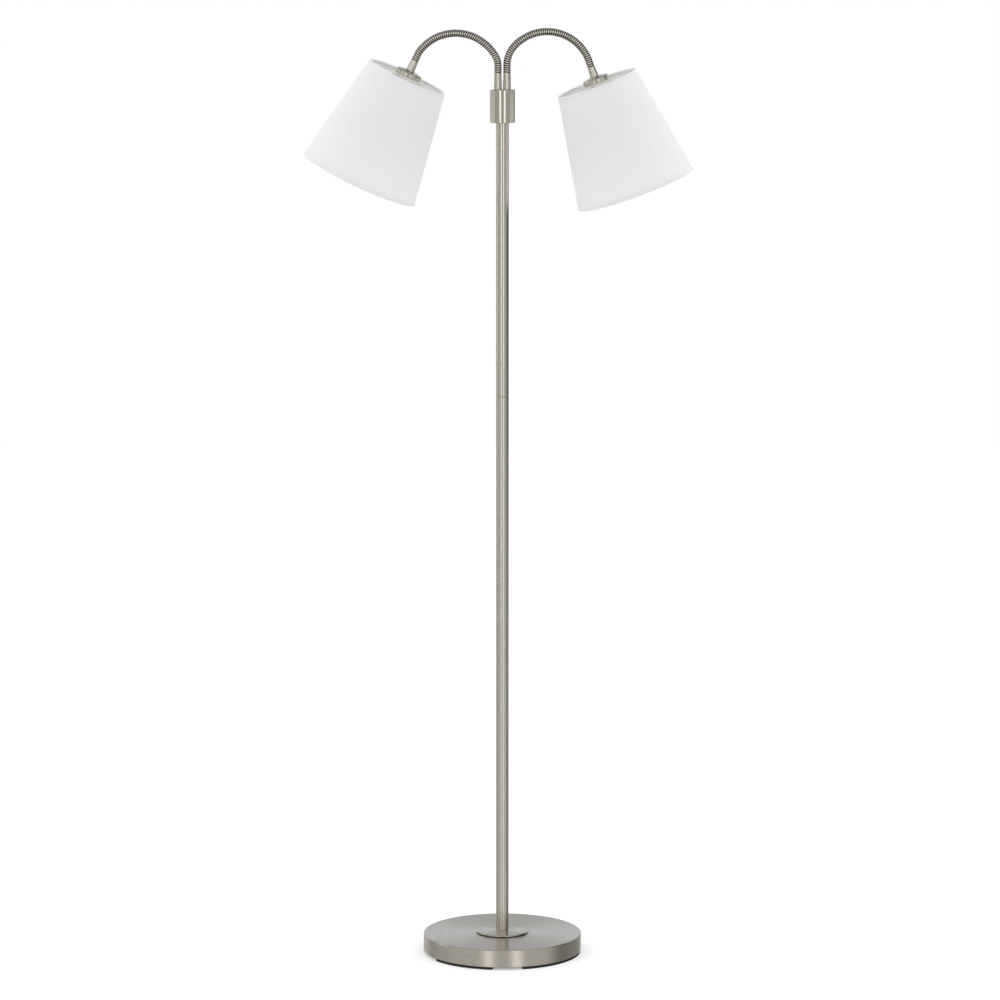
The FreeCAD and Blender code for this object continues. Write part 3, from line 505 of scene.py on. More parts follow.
def polar(radius: float, turn: float, level: float) -> Vector:
    """A point in metres, from its radius and level in millimetres and its turn in radians."""
    return Vector((radius * MM * math.cos(turn), radius * MM * math.sin(turn), level * MM))


def circle(sides: int) -> list[float]:
    """Evenly spaced turns round a circle."""
    return [math.tau * side / sides for side in range(sides)]


def linked(name: str, data: bpy.types.ID) -> Piece:
    """A scene object that holds a mesh or a camera."""
    thing = bpy.data.objects.new(name, data)
    bpy.context.scene.collection.objects.link(thing)
    return thing


def new_piece(name: str, shape: Shape, material: Material) -> Piece:
    """Turns a finished shape into a scene object at the origin.

    Args:
        name: The piece's name.
        shape: The shape in metres, in the model's frame. It is freed.
        material: Its finish.

    Returns:
        The object, smooth, with edges sharper than 40 degrees kept.
    """
    bmesh.ops.recalc_face_normals(shape, faces=shape.faces)
    mesh = bpy.data.meshes.new(name)
    shape.to_mesh(mesh)
    shape.free()
    mesh.shade_smooth()
    mesh.set_sharp_from_angle(angle=math.radians(40))
    mesh.materials.append(material)
    return linked(name, mesh)


def evaluated(piece: Piece) -> bpy.types.Mesh:
    """The plain mesh that an object's modifiers make."""
    graph = bpy.context.evaluated_depsgraph_get()
    return bpy.data.meshes.new_from_object(piece.evaluated_get(graph), depsgraph=graph)


def skin(shape: Shape, rings: Sequence[Sequence[bmesh.types.BMVert]]) -> list[bmesh.types.BMFace]:
    """Skins a row of closed rings of vertices, and closes both ends.

    Args:
        shape: The shape that holds the vertices.
        rings: The rings in order, all of one length.

    Returns:
        The faces between the rings.
    """
    faces = []
    for first, second in zip(rings, rings[1:]):
        for i in range(len(first)):
            j = (i + 1) % len(first)
            faces.append(shape.faces.new((first[i], first[j], second[j], second[i])))
    for end in (rings[0], rings[-1]):
        shape.faces.new(end)
    return faces


def turned_shape(
    outline: Sequence[Point], place: Matrix, sides: int, closed: bool, into: Shape | None = None
) -> Shape:
    """Turns an outline about a place's Z axis, with a UV map in metres along the turn and the outline.

    Args:
        outline: (radius, level) points in millimetres. Points on the axis become poles.
        place: Where the axis stands in the model's frame, in metres.
        sides: How many sides the turn has.
        closed: Whether the outline's last point joins its first.
        into: A shape to add to, or None to start one.

    Returns:
        The shape.
    """
    shape = into or bmesh.new()
    uv_layer = shape.loops.layers.uv.verify()
    rings = []
    for radius, level in outline:
        turns = [0.0] if radius < 1e-6 else circle(sides)
        rings.append([shape.verts.new(place @ polar(radius, turn, level)) for turn in turns])
    girth = math.tau * max(radius for radius, _ in outline) * MM
    pairs = list(zip(range(len(outline)), range(1, len(outline))))
    if closed:
        pairs.append((len(outline) - 1, 0))
    run = 0.0
    for low, high in pairs:
        next_run = run + math.dist(outline[low], outline[high]) * MM
        for side in range(sides):
            corners = []
            for ring, steps, up in ((rings[low], (0, 1), run), (rings[high], (1, 0), next_run)):
                if len(ring) > 1:
                    corners += [(ring[(side + step) % sides], side + step, up) for step in steps]
                else:
                    corners.append((ring[0], side + 0.5, up))
            if len(corners) < 3:
                continue
            face = shape.faces.new([vertex for vertex, _, _ in corners])
            for loop, (_, across, up) in zip(face.loops, corners):
                loop[uv_layer].uv = (girth * across / sides, up)
        run = next_run
    return shape


def turned_piece(
    name: str, outline: Outline, material: Material, place: Matrix = UPRIGHT, sides: int = 128,
    closed: bool = True,
) -> Piece:
    """A piece turned from a rounded outline.

    Args:
        name: The piece's name.
        outline: The corners of its outline, in millimetres.
        material: Its finish.
        place: Where its axis stands.
        sides: How many sides the turn has.
        closed: False where the outline starts and ends on the axis.

    Returns:
        The piece.
    """
    points = supported(rounded(outline, closed), closed)
    return new_piece(name, turned_shape(points, place, sides, closed), material)


def settle(piece: Piece, body: str, slot: Slot, *replaced: str) -> None:
    """Makes a finished piece ride on a body and stand for CAD nodes.

    Args:
        piece: The piece.
        body: The body that carries it.
        slot: Not used.
        *replaced: The nodes that it stands for.
    """
    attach(piece, body)
    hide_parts(*replaced)
    LOG.info("%s rides on %s and stands for %s", piece.name, body, ", ".join(replaced))


# ---- Geometry Nodes ----


class PatternNodes(Nodes):
    """A Geometry Nodes tree with named inputs, and the way to run it on an object."""

    def __init__(self, name: str, inputs: dict[str, str]) -> None:
        """Makes the tree's interface.

        Args:
            name: The tree's name.
            inputs: The inputs' names and their kinds, besides the geometry and the material.
        """
        super().__init__(bpy.data.node_groups.new(name, "GeometryNodeTree"))
        for socket, kind in {"Geometry": "Geometry", **inputs, "Material": "Material"}.items():
            self.tree.interface.new_socket(socket, in_out="INPUT", socket_type="NodeSocket" + kind)
        self.tree.interface.new_socket("Geometry", in_out="OUTPUT", socket_type="NodeSocketGeometry")
        self.given = self.add("NodeGroupInput").outputs

    def kept(self, geometry: Socket, value: Socket, name: str) -> tuple[Socket, Socket]:
        """Keeps a value on a geometry's points, and returns the geometry and the kept value."""
        node = self.add("GeometryNodeCaptureAttribute", {0: geometry}, domain="POINT")
        node.capture_items.new("FLOAT", name)
        self.tree.links.new(value, node.inputs[1])
        return node.outputs[0], node.outputs[1]

    def ring(self, radius: Socket) -> Socket:
        """A round profile with the given number of sides."""
        inputs = {"Resolution": self.given["Sides"], "Radius": radius}
        return self.out("GeometryNodeCurvePrimitiveCircle", inputs, mode="RADIUS")

    def tube(self, line: Socket, profile: Socket) -> Socket:
        """A profile drawn along a line."""
        return self.out("GeometryNodeCurveToMesh", {"Curve": line, "Profile Curve": profile})

    def close(self, *geometries: Socket) -> None:
        """Ends the tree: geometries are joined, instances made real, and the given material is set."""
        joined = self.add("GeometryNodeJoinGeometry")
        for geometry in geometries:
            self.tree.links.new(geometry, joined.inputs[0])
        real = self.out("GeometryNodeRealizeInstances", {0: joined.outputs[0]})
        inputs = {"Geometry": real, "Material": self.given["Material"]}
        self.add("NodeGroupOutput", {0: self.out("GeometryNodeSetMaterial", inputs)})

    def run(self, carrier: Piece, values: dict[str, Any]) -> bpy.types.Mesh:
        """Runs the tree on an object and returns the result as a plain mesh.

        Args:
            carrier: The object whose geometry goes in. It is removed.
            values: The tree's inputs by name.

        Returns:
            The mesh.
        """
        modifier = carrier.modifiers.new(self.tree.name, "NODES")
        modifier.node_group = self.tree
        for item in self.tree.interface.items_tree:
            if item.in_out == "INPUT" and item.name in values:
                modifier[item.identifier] = values[item.name]
        mesh = evaluated(carrier)
        carrier.modifiers.remove(modifier)
        bpy.data.objects.remove(carrier)
        return mesh


def ribbed_tube_nodes() -> PatternNodes:
    """A tube along a chain of edges, wound with a rounded rib that climbs like a thread."""
    lengths = ("Root Radius", "Rib Depth", "Rib Pitch", "Start", "Bore Radius", "Step")
    nodes = PatternNodes("ribbed_tube", {"Across": "Vector", **dict.fromkeys(lengths, "Float"), "Sides": "Int"})
    given = nodes.given
    curve = nodes.out("GeometryNodeMeshToCurve", {0: given["Geometry"]})
    inputs = {"Curve": curve, "Length": given["Step"]}
    line = nodes.out("GeometryNodeResampleCurve", inputs, mode="LENGTH")
    inputs = {"Curve": line, "Normal": given["Across"]}
    steady = nodes.out("GeometryNodeSetCurveNormal", inputs, mode="FREE")
    length = nodes.add("GeometryNodeSplineParameter").outputs["Length"]
    spine, distance = nodes.kept(steady, length, "Distance")
    around = nodes.add("GeometryNodeSplineParameter").outputs["Factor"]
    profile, turn = nodes.kept(nodes.ring(given["Root Radius"]), around, "Turn")
    skinned = nodes.tube(spine, profile)
    turns = nodes.math("DIVIDE", nodes.math("ADD", distance, given["Start"]), given["Rib Pitch"])
    phase = nodes.math("FRACT", nodes.math("ADD", turns, turn))
    rib = nodes.math("MINIMUM", nodes.step(phase, 0.0, 0.2), nodes.step(phase, 0.6, 0.8, 1.0, 0.0))
    lift = nodes.math("MULTIPLY", rib, given["Rib Depth"])
    offset = nodes.scaled(nodes.out("GeometryNodeInputNormal"), lift)
    ribbed = nodes.out("GeometryNodeSetPosition", {0: skinned, "Offset": offset})
    # The stored mark is 1 in the hollows between turns, where the coil's finish paints shade.
    inputs = {"Geometry": ribbed, "Name": "painted_groove_shade", "Value": nodes.step(rib, 0.95, 0.3)}
    marked = nodes.out("GeometryNodeStoreNamedAttribute", inputs, data_type="FLOAT", domain="POINT")
    nodes.close(marked, nodes.tube(line, nodes.ring(given["Bore Radius"])))
    return nodes


def knurled_ring_nodes() -> PatternNodes:
    """Grip ridges set side by side round a ring: one ridge is instanced on a circle of points."""
    lengths = ("Radius", "Ridge Width", "Ridge Height", "Ridge Length")
    nodes = PatternNodes("knurled_ring", {"Count": "Int", **dict.fromkeys(lengths, "Float")})
    given = nodes.given
    points = nodes.out("GeometryNodeMeshCircle", {"Vertices": given["Count"], "Radius": given["Radius"]})
    position = nodes.out("GeometryNodeInputPosition")
    half_width = nodes.math("DIVIDE", given["Ridge Width"], 2.0)
    inputs = {"Vertices": 12, "Radius": half_width, "Depth": given["Ridge Length"]}
    ridge = nodes.add("GeometryNodeMeshCylinder", inputs).outputs["Mesh"]
    inputs = {
        "Points": points,
        "Instance": ridge,
        "Rotation": nodes.out("FunctionNodeAlignRotationToVector", {"Vector": position}, axis="X"),
        "Scale": nodes.join(nodes.math("DIVIDE", given["Ridge Height"], half_width), 1.0, 1.0),
    }
    nodes.close(given["Geometry"], nodes.out("GeometryNodeInstanceOnPoints", inputs))
    return nodes


# ---- The stand ----


@dataclass(frozen=True)
class Base:
    """The round foot, in millimetres: a spun cover on rubber pads, and the flange at the pole's foot."""

    radius: float = 120.0
    floor: float = 4.0
    top: float = 30.0
    wall: float = 1.2
    edge: float = 1.6
    hem: float = 0.45
    gland_level: float = 17.0
    gland_hole: float = 5.05
    pad_arcs: tuple[Point, ...] = ((-59.0, 52.0), (15.0, 76.0), (121.0, 52.0), (195.0, 76.0))  # start, sweep
    pad_width: float = 10.5
    pad_inset: float = 1.0
    pad_break: float = 0.3
    pad_tip: float = 0.12  # the share of its width that a pad's rounded end closes in
    flange_radius: float = 39.75
    flange_bottom: float = 31.0
    flange_top: float = 33.0

    def build(self) -> None:
        """Makes the cover, the pads and the flange."""
        self.cover()
        self.pads()
        corners = [
            (ROD_HOLE, self.flange_bottom), (self.flange_radius, self.flange_bottom, 0.4, 3),
            (self.flange_radius, self.flange_top, 0.8), (ROD_HOLE, self.flange_top),
        ]
        flange = turned_piece("flange", corners, SPUN_NICKEL.material("flange_nickel"), sides=160)
        settle(flange, "stand", Slot.NICKEL, "pole_flange")

    def cover(self) -> None:
        """The spun cover, open below, with a hole for the cord's gland at the back."""
        inner = self.radius - self.wall
        corners = [
            (ROD_HOLE, self.top), (self.radius, self.top, self.edge, 10),
            (self.radius, self.floor, self.hem, 4), (inner, self.floor, self.hem, 4),
            (inner, self.top - self.wall, self.edge - self.wall, 3), (ROD_HOLE, self.top - self.wall),
        ]
        piece = turned_piece("cover", corners, SPUN_NICKEL.material("cover_nickel"), sides=192)
        self.drill(piece)
        settle(piece, "stand", Slot.NICKEL, "base_cover")

    def drill(self, piece: Piece) -> None:
        """Drills the gland's hole through the back of the cover."""
        back = Matrix.Translation((0, self.radius * MM, self.gland_level * MM))
        along_y = back @ Matrix.Rotation(-math.pi / 2, 4, "X")
        reach, radius = 12, self.gland_hole
        bit = turned_shape([(0, -reach), (radius, -reach), (radius, reach), (0, reach)], along_y, 48, False)
        drill = new_piece("drill", bit, piece.data.materials[0])
        cut = piece.modifiers.new("hole", "BOOLEAN")
        cut.object, cut.operation, cut.solver = drill, "DIFFERENCE", "EXACT"
        piece.data = evaluated(piece)
        piece.modifiers.clear()
        bpy.data.objects.remove(drill)

    def pads(self) -> None:
        """Four curved rubber pads under the rim."""
        shape = bmesh.new()
        for start, sweep in self.pad_arcs:
            self.pad(shape, start, sweep)
        piece = new_piece("pads", shape, PLAIN_FINISHES[Slot.RUBBER].material("pad_rubber"))
        settle(piece, "stand", Slot.RUBBER, "foot_pads")

    def pad(self, shape: Shape, start: float, sweep: float) -> None:
        """Adds a pad with rounded ends, its lower edges broken.

        Args:
            shape: The shape to add to.
            start: Where it starts, in degrees from the front.
            sweep: How far it runs, in degrees.
        """
        half, foot = self.pad_width / 2, self.pad_width / 2 - self.pad_break
        across = [(-foot, 0.0), (foot, 0.0), (half, self.pad_break)]
        across += [(half, self.floor), (-half, self.floor), (-half, self.pad_break)]
        middle = self.radius - self.pad_inset - half
        end = math.degrees(half / middle)
        end_steps, steps = 8, 48
        stations: list[Point] = []
        for step in range(end_steps):
            share = math.cos(math.pi / 2 * step / end_steps)
            stations.append((start + end * (1 - share), math.sqrt(max(0.0, 1 - share**2)) or self.pad_tip))
        stations += [(start + end + (sweep - 2 * end) * step / steps, 1.0) for step in range(steps + 1)]
        stations += [(2 * start + sweep - angle, share) for angle, share in reversed(stations[:end_steps])]
        rings = []
        for angle, share in stations:
            turn = math.radians(angle - 90)
            rings.append([shape.verts.new(polar(middle + out * share, turn, level)) for out, level in across])
        skin(shape, rings)


@dataclass(frozen=True)
class Pole:
    """The pole's two tubes, the collar on top and both lower ferrules, in millimetres."""

    radius: float = 9.5
    bore: float = 8.3
    bottom: float = 33.0
    joint: float = 851.0
    band: float = 2.0  # of the joiner, which keeps its CAD shape
    top: float = 1261.0
    chamfer: float = 0.4
    collar_radius: float = 18.5
    collar_bore: float = 17.0
    collar_floor: float = 3.0
    collar_height: float = 49.0
    cap_thickness: float = 3.0
    hollow_radius: float = 16.2
    arm_offset: float = 6.7
    ferrule_length: float = 24.7
    ferrule_foot: float = 6.0
    ferrule_mouth: float = 5.3
    thread_length: float = 8.5

    def build(self) -> None:
        """Makes both tubes, the collar and both lower ferrules."""
        nickel = NICKEL.material("pole_nickel")
        tubes = {"lower_pole": (self.bottom, self.joint), "upper_pole": (self.joint + self.band, self.top)}
        for name, (low, high) in tubes.items():
            corners = [
                (self.bore, low), (self.radius - self.chamfer, low),
                (self.radius, low + self.chamfer, 0.3, 2), (self.radius, high - self.chamfer, 0.3, 2),
                (self.radius - self.chamfer, high), (self.bore, high),
            ]
            settle(turned_piece(name + "_tube", corners, nickel, sides=96), "stand", Slot.NICKEL, name)
        self.collar()
        for side, name in ((-1, "left"), (1, "right")):
            self.ferrule(name, side * self.arm_offset)

    def collar(self) -> None:
        """The hollow collar, with a seat for its cap."""
        top = self.top + self.collar_height
        corners = [
            (ROD_HOLE, self.top), (self.collar_radius, self.top, 0.6, 5), (self.collar_radius, top, 0.6, 5),
            (self.collar_bore, top), (self.collar_bore, top - self.cap_thickness),
            (self.hollow_radius, top - self.cap_thickness), (self.hollow_radius, self.top + self.collar_floor),
            (ROD_HOLE, self.top + self.collar_floor),
        ]
        shell = turned_piece("collar_shell", corners, NICKEL.material("collar_nickel"))
        settle(shell, "stand", Slot.NICKEL, "collar")

    def ferrule(self, name: str, x: float) -> None:
        """A lower ferrule: a tapered sleeve with a seat in its mouth, and a threaded tail.

        Args:
            name: The side's name.
            x: The ferrule's axis.
        """
        foot = self.top + self.collar_height
        mouth = foot + self.ferrule_length
        place = Matrix.Translation((x * MM, 0, 0))
        corners = [
            (LEAD_HOLE, foot - self.thread_length), (FERRULE_THREAD, foot - self.thread_length),
            (FERRULE_THREAD, foot), (self.ferrule_foot, foot, 0.4, 3), (self.ferrule_mouth, mouth, 0.3, 3),
            (TUBE_SEAT, mouth), (TUBE_SEAT, mouth - SEAT_DEPTH), (LEAD_HOLE, mouth - SEAT_DEPTH),
        ]
        finish = NICKEL.material(f"{name}_lower_ferrule_nickel", place)
        piece = turned_piece(f"{name}_foot_ferrule", corners, finish, place, sides=64)
        settle(piece, "stand", Slot.NICKEL, f"{name}_lower_ferrule")


# ---- The flexible arms ----


@dataclass(frozen=True)
class ArmPath:
    """One arm's line in millimetres, measured along it from its lower ferrule's mouth."""

    name: str
    sign: int  # -1 on the left, +1 on the right
    radii: tuple[float, float, float]
    turns: tuple[float, float]
    head_tilt: float
    foot: tuple[float, float, float]
    straight: float = 11.2
    sweep: float = 8.0  # the arch stands this far towards the back
    pieces: int = 7
    gap: float = 0.9

    def outwards(self) -> Vector:
        """The level direction in which the arch leans out."""
        sweep = math.radians(self.sweep)
        return Vector((self.sign * math.cos(sweep), math.sin(sweep), 0))

    def backwards(self) -> Vector:
        """The level direction square to the arch."""
        sweep = math.radians(self.sweep)
        return Vector((-self.sign * math.sin(sweep), math.cos(sweep), 0))

    def stretches(self) -> list[Point]:
        """Length and curvature of each straight or curved stretch."""
        last = 180 - self.head_tilt - sum(self.turns)
        turns = [math.radians(turn) for turn in (*self.turns, last)]
        bends = [(radius * turn, 1 / radius) for radius, turn in zip(self.radii, turns)]
        return [(self.straight, 0.0), *bends, (self.straight, 0.0)]

    def length(self) -> float:
        """The length between both ferrules' mouths."""
        return sum(length for length, _ in self.stretches())

    def station(self, distance: float) -> tuple[Vector, Vector]:
        """Place and heading at a distance, straight on past both ends.

        Args:
            distance: How far along, in millimetres.

        Returns:
            The place in millimetres, and the unit heading.
        """
        out = up = heading = 0.0
        left = distance
        stretches = self.stretches()
        for index, (length, curvature) in enumerate(stretches):
            run = left if index == len(stretches) - 1 or left < length else length
            if curvature:
                turn = run * curvature
                out += (math.cos(heading) - math.cos(heading + turn)) / curvature
                up += (math.sin(heading + turn) - math.sin(heading)) / curvature
                heading += turn
            else:
                out += run * math.sin(heading)
                up += run * math.cos(heading)
            left -= run
            if left <= 0:
                break
        away = self.outwards()
        place = Vector(self.foot) + away * out + Vector((0, 0, up))
        return place, away * math.sin(heading) + Vector((0, 0, math.cos(heading)))

    def head_place(self) -> Matrix:
        """Where the head's own axes stand: +Z runs on from the arm's end, +X is backwards."""
        place, heading = self.station(self.length())
        across = self.backwards()
        turned = Matrix((across, heading.cross(across), heading)).transposed().to_4x4()
        return Matrix.Translation(place * MM) @ turned

    def boundaries(self) -> list[float]:
        """Both ends, and the middle of each jointed piece: between two of them the arm bends once."""
        length = self.length()
        piece = (length - (self.pieces + 1) * self.gap) / self.pieces
        middles = [self.gap + index * (piece + self.gap) + piece / 2 for index in range(self.pieces)]
        return [0.0, *middles, length]


@dataclass(frozen=True)
class Span:
    """A stretch of an arm between two bodies, from one distance along it to another."""

    near: str
    far: str
    start: float
    end: float


@dataclass(frozen=True)
class FlexibleArm:
    """The coiled steel tube of one arm, and the lead through it, in millimetres."""

    path: ArmPath
    root_radius: float = 5.1
    crest_radius: float = 5.6
    pitch: float = 3.2
    bore_radius: float = 3.0
    step: float = 0.3
    sides: int = 40
    lead_radius: float = 2.3
    lead_sides: int = 16
    lead_step: float = 1.5
    lead_start: float = -44.7  # on the connector in the collar
    lead_overrun: float = 26.0  # past the arm's end, in the lampholder

    def build(self, nodes: PatternNodes) -> None:
        """Makes one length of tube and of lead across each joint, with the ribbed tube's nodes."""
        name, pieces = self.path.name, self.path.pieces
        bodies = ["stand", *(f"{name}_arm_{index + 1}" for index in range(pieces)), f"{name}_head"]
        # Its finish paints near-black shade in the hollows between the coil's turns.
        coil = CoiledSteel().material(f"{name}_coil_nickel")
        sheath = PLAIN_FINISHES[Slot.SHEATH].material(f"{name}_lead_sheath")
        bounds = self.path.boundaries()
        last = len(bounds) - 2
        for index in range(last + 1):
            span = Span(bodies[index], bodies[index + 1], bounds[index], bounds[index + 1])
            tube = self.tube(nodes, f"{name}_coil_{index + 1}", span, coil)
            flexed = sorted({min(max(piece, 1), pieces) for piece in (index, index + 1)})
            self.settle(tube, span, Slot.NICKEL, *(f"{name}_flex_{piece}" for piece in flexed))
            start = self.lead_start if index == 0 else span.start
            end = span.end + self.lead_overrun if index == last else span.end
            lead = self.lead(f"{name}_wire_{index + 1}", start, end, sheath)
            self.settle(lead, span, Slot.SHEATH, f"{name}_arm_lead")

    def settle(self, piece: Piece, span: Span, slot: Slot, *nodes: str) -> None:
        """Bakes a piece's place into its mesh, hides the CAD nodes that it stands for and logs the span's
        bodies.
        """
        start, end = (self.path.station(distance)[0] * MM for distance in (span.start, span.end))
        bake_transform(piece)
        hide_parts(*nodes)
        LOG.info("%s bends from %s to %s and stands for %s", piece.name, span.near, span.far, ", ".join(nodes))

    def stations(self, start: float, end: float, step: float) -> list[tuple[Vector, Vector]]:
        """Places and headings along the arm, evenly spaced."""
        count = max(2, round((end - start) / step))
        return [self.path.station(start + (end - start) * i / count) for i in range(count + 1)]

    def tube(self, nodes: PatternNodes, name: str, span: Span, material: Material) -> Piece:
        """A ribbed length of tube with its bore, closed at both ends.

        Args:
            nodes: The ribbed tube's nodes.
            name: The piece's name.
            span: Where it lies along the arm.
            material: Its finish.

        Returns:
            The piece.
        """
        points = [place * MM for place, _ in self.stations(span.start, span.end, self.step)]
        line = bpy.data.meshes.new(name + "_line")
        line.from_pydata(points, [(i, i + 1) for i in range(len(points) - 1)], [])
        lengths = {
            "Root Radius": self.root_radius,
            "Rib Depth": self.crest_radius - self.root_radius,
            "Rib Pitch": self.pitch,
            "Start": span.start,
            "Bore Radius": self.bore_radius,
            "Step": self.step,
        }
        values = {"Across": self.path.backwards(), "Sides": self.sides, "Material": material}
        values |= {key: length * MM for key, length in lengths.items()}
        mesh = nodes.run(linked(line.name, line), values)
        shape = bmesh.new()
        shape.from_mesh(mesh)
        bpy.data.meshes.remove(mesh)
        rims = [edge for edge in shape.edges if edge.is_boundary]
        for distance in (span.start, span.end):
            place, heading = self.path.station(distance)
            rim = [e for e in rims if all(abs((v.co - place * MM).dot(heading)) < 1e-5 for v in e.verts)]
            bmesh.ops.bridge_loops(shape, edges=rim)
        return new_piece(name, shape, material)

    def lead(self, name: str, start: float, end: float, material: Material) -> Piece:
        """A length of the lead, closed at both ends."""
        shape = bmesh.new()
        across = self.path.backwards()
        rings = []
        for place, heading in self.stations(start, end, self.lead_step):
            side = heading.cross(across)
            ways = [across * math.cos(turn) + side * math.sin(turn) for turn in circle(self.lead_sides)]
            rings.append([shape.verts.new((place + way * self.lead_radius) * MM) for way in ways])
        skin(shape, rings)
        return new_piece(name, shape, material)


# ---- The heads ----


@dataclass(frozen=True)
class Head:
    """One head, from its ferrule to its bulb. Levels are in millimetres from the arm's end to the mouth."""

    name: str
    place: Matrix
    cup_top: float = 15.5
    rim: float = 25.5
    cup_radius: float = 19.8
    cup_hole: float = 4.05
    ferrule_mouth: float = 5.4
    ferrule_foot: float = 6.5
    tail_end: float = 22.5
    shade_top: float = 61.5
    shade_bottom: float = 91.0
    shade_height: float = 170.0
    wall: float = 1.0
    wire: float = 1.5
    wire_inset: float = 0.4  # from the cone's edges
    wire_gap: float = 0.05  # to its wall
    hem: float = 4.5
    tape: float = 0.22  # how far the tape at the shade's edges stands proud
    seam_width: float = 9.0
    seam_lift: float = 0.3
    hub_bore: float = 16.6
    hub_radius: float = 22.0
    hub_plate: float = 1.2
    spoke_root: float = 19.5
    spoke_width: float = 5.0
    spoke_edge: float = 0.35
    ring_bore: float = 16.55
    ring_radius: float = 22.4
    ring_height: float = 6.5
    ridges: int = 54
    ridge_width: float = 1.5
    ridge_height: float = 0.6
    ridge_margin: float = 0.8
    holder_radius: float = 16.5
    holder_base: float = 17.7
    holder_mouth: float = 60.0
    socket_radius: float = 13.5
    socket_end: float = 31.0

    def build(self, knurl: PatternNodes) -> None:
        """Makes every visible piece of the head, with the knurled ring's nodes."""
        nickel = NICKEL.material(f"{self.name}_head_nickel", self.place)
        self.ferrule(nickel)
        self.cup(nickel)
        self.holder()
        self.ring(knurl)
        self.carrier()
        self.shade()
        self.bulb()

    def settle(self, piece: Piece, slot: Slot, *nodes: str) -> None:
        """Makes a piece ride on the head and stand for its nodes, named without the side."""
        settle(piece, f"{self.name}_head", slot, *(f"{self.name}_{node}" for node in nodes))

    def turned(
        self, name: str, corners: Outline, material: Material, sides: int = 128, closed: bool = True
    ) -> Piece:
        """A piece turned about the head's axis."""
        return turned_piece(f"{self.name}_{name}", corners, material, self.place, sides, closed)

    def plain(self, slot: Slot) -> Material:
        """A plain finish under this head's name."""
        return PLAIN_FINISHES[slot].material(f"{self.name}_{slot.value}")

    def ferrule(self, nickel: Material) -> None:
        """The tapered sleeve over the cup, and its threaded tail."""
        corners = [
            (TUBE_SEAT, SEAT_DEPTH), (TUBE_SEAT, 0.0), (self.ferrule_mouth, 0.0, 0.3, 3),
            (self.ferrule_foot, self.cup_top, 0.3, 3), (FERRULE_THREAD, self.cup_top),
            (FERRULE_THREAD, self.tail_end), (LEAD_HOLE, self.tail_end), (LEAD_HOLE, SEAT_DEPTH),
        ]
        self.settle(self.turned("head_ferrule", corners, nickel, 64), Slot.NICKEL, "upper_ferrule")

    def cup(self, nickel: Material) -> None:
        """The shallow domed cup, with a soft shoulder and a plain rim."""
        top, wall, side = self.cup_top, self.wall, self.cup_radius
        shoulder = top + 2.6
        flat, dome = 7.0, 12.5  # the radii where its top starts to fall and where it turns down
        corners = [
            (self.cup_hole, top), (flat, top, 2.0, 5), (dome, top + 0.8, 18.0, 8),
            (side - 0.9, shoulder - 0.15, 1.0, 5), (side, shoulder + 1.2, 0.8, 5), (side, self.rim, 0.3, 3),
            (side - wall, self.rim, 0.3, 3), (side - wall, shoulder + 1.4, 0.6, 3),
            (side - 1.6, shoulder + 0.8), (dome, top + 1.8), (flat, top + wall), (self.cup_hole, top + wall),
        ]
        self.settle(self.turned("dome_cup", corners, nickel), Slot.NICKEL, "cup")

    def holder(self) -> None:
        """The moulded lampholder, with the thread that its shade ring runs on."""
        pitch, crest = 2.4, self.holder_radius
        root = crest - 0.55
        neck, floor, socket_wall = 7.0, self.cup_top + 1.0, 26.0
        turn = ((root, 0.0, 0.2, 2), (crest, 0.35, 0.25, 2), (crest, 0.6, 0.25, 2), (root, 0.95, 0.2, 2))
        corners = [
            (self.cup_hole, floor), (neck, floor, 0.5, 3), (neck, self.rim - 4.0),
            (self.holder_base, self.rim - 4.0, 0.4, 3), (self.holder_base, self.rim), (root, self.rim),
            *thread(turn, self.rim + 2.5, self.holder_mouth - 2.0, pitch),
            (crest - 0.2, self.holder_mouth, 0.8, 4), (self.socket_radius, self.holder_mouth, 0.6, 4),
            (self.socket_radius, self.socket_end), (0.0, self.socket_end), (0.0, socket_wall),
            (LEAD_HOLE, socket_wall), (LEAD_HOLE, self.tail_end), (self.cup_hole, self.tail_end),
        ]
        piece = self.turned("socket", corners, self.plain(Slot.THERMOSET), 96, False)
        self.settle(piece, Slot.THERMOSET, "lampholder")

    def ring(self, knurl: PatternNodes) -> None:
        """The threaded ring that holds the shade's hub up, with grip ridges round it."""
        low = self.rim + self.hub_plate
        high, middle = low + self.ring_height, low + self.ring_height / 2
        corners = [
            (self.ring_bore, low), (self.ring_radius, low, 0.4, 3), (self.ring_radius, high, 0.8, 4),
            (self.ring_bore, high, 0.5, 3),
        ]
        material = self.plain(Slot.THERMOSET)
        body = turned_piece(f"{self.name}_ring_body", corners, material, sides=96)
        body.data.transform(Matrix.Translation((0, 0, -middle * MM)))
        values = {
            "Count": self.ridges,
            "Radius": self.ring_radius * MM,
            "Ridge Width": self.ridge_width * MM,
            "Ridge Height": self.ridge_height * MM,
            "Ridge Length": (self.ring_height - 2 * self.ridge_margin) * MM,
            "Material": material,
        }
        mesh = knurl.run(body, values)
        mesh.transform(self.place @ Matrix.Translation((0, 0, middle * MM)))
        self.settle(linked(f"{self.name}_grip_ring", mesh), Slot.THERMOSET, "shade_ring")

    def wall_radius(self, level: float) -> float:
        """The shade's outer radius at a level below its top."""
        return self.shade_top + (self.shade_bottom - self.shade_top) * (level - self.rim) / self.shade_height

    def slope(self) -> float:
        """The shade's half-angle."""
        return math.atan2(self.shade_bottom - self.shade_top, self.shade_height)

    def wire_corners(self, level: float) -> Outline:
        """The outline of a wire ring just inside the shade."""
        radius = self.wall_radius(level) - (self.wall + self.wire + self.wire_gap) / math.cos(self.slope())
        return [(radius + self.wire * math.cos(a), level + self.wire * math.sin(a)) for a in circle(16)]

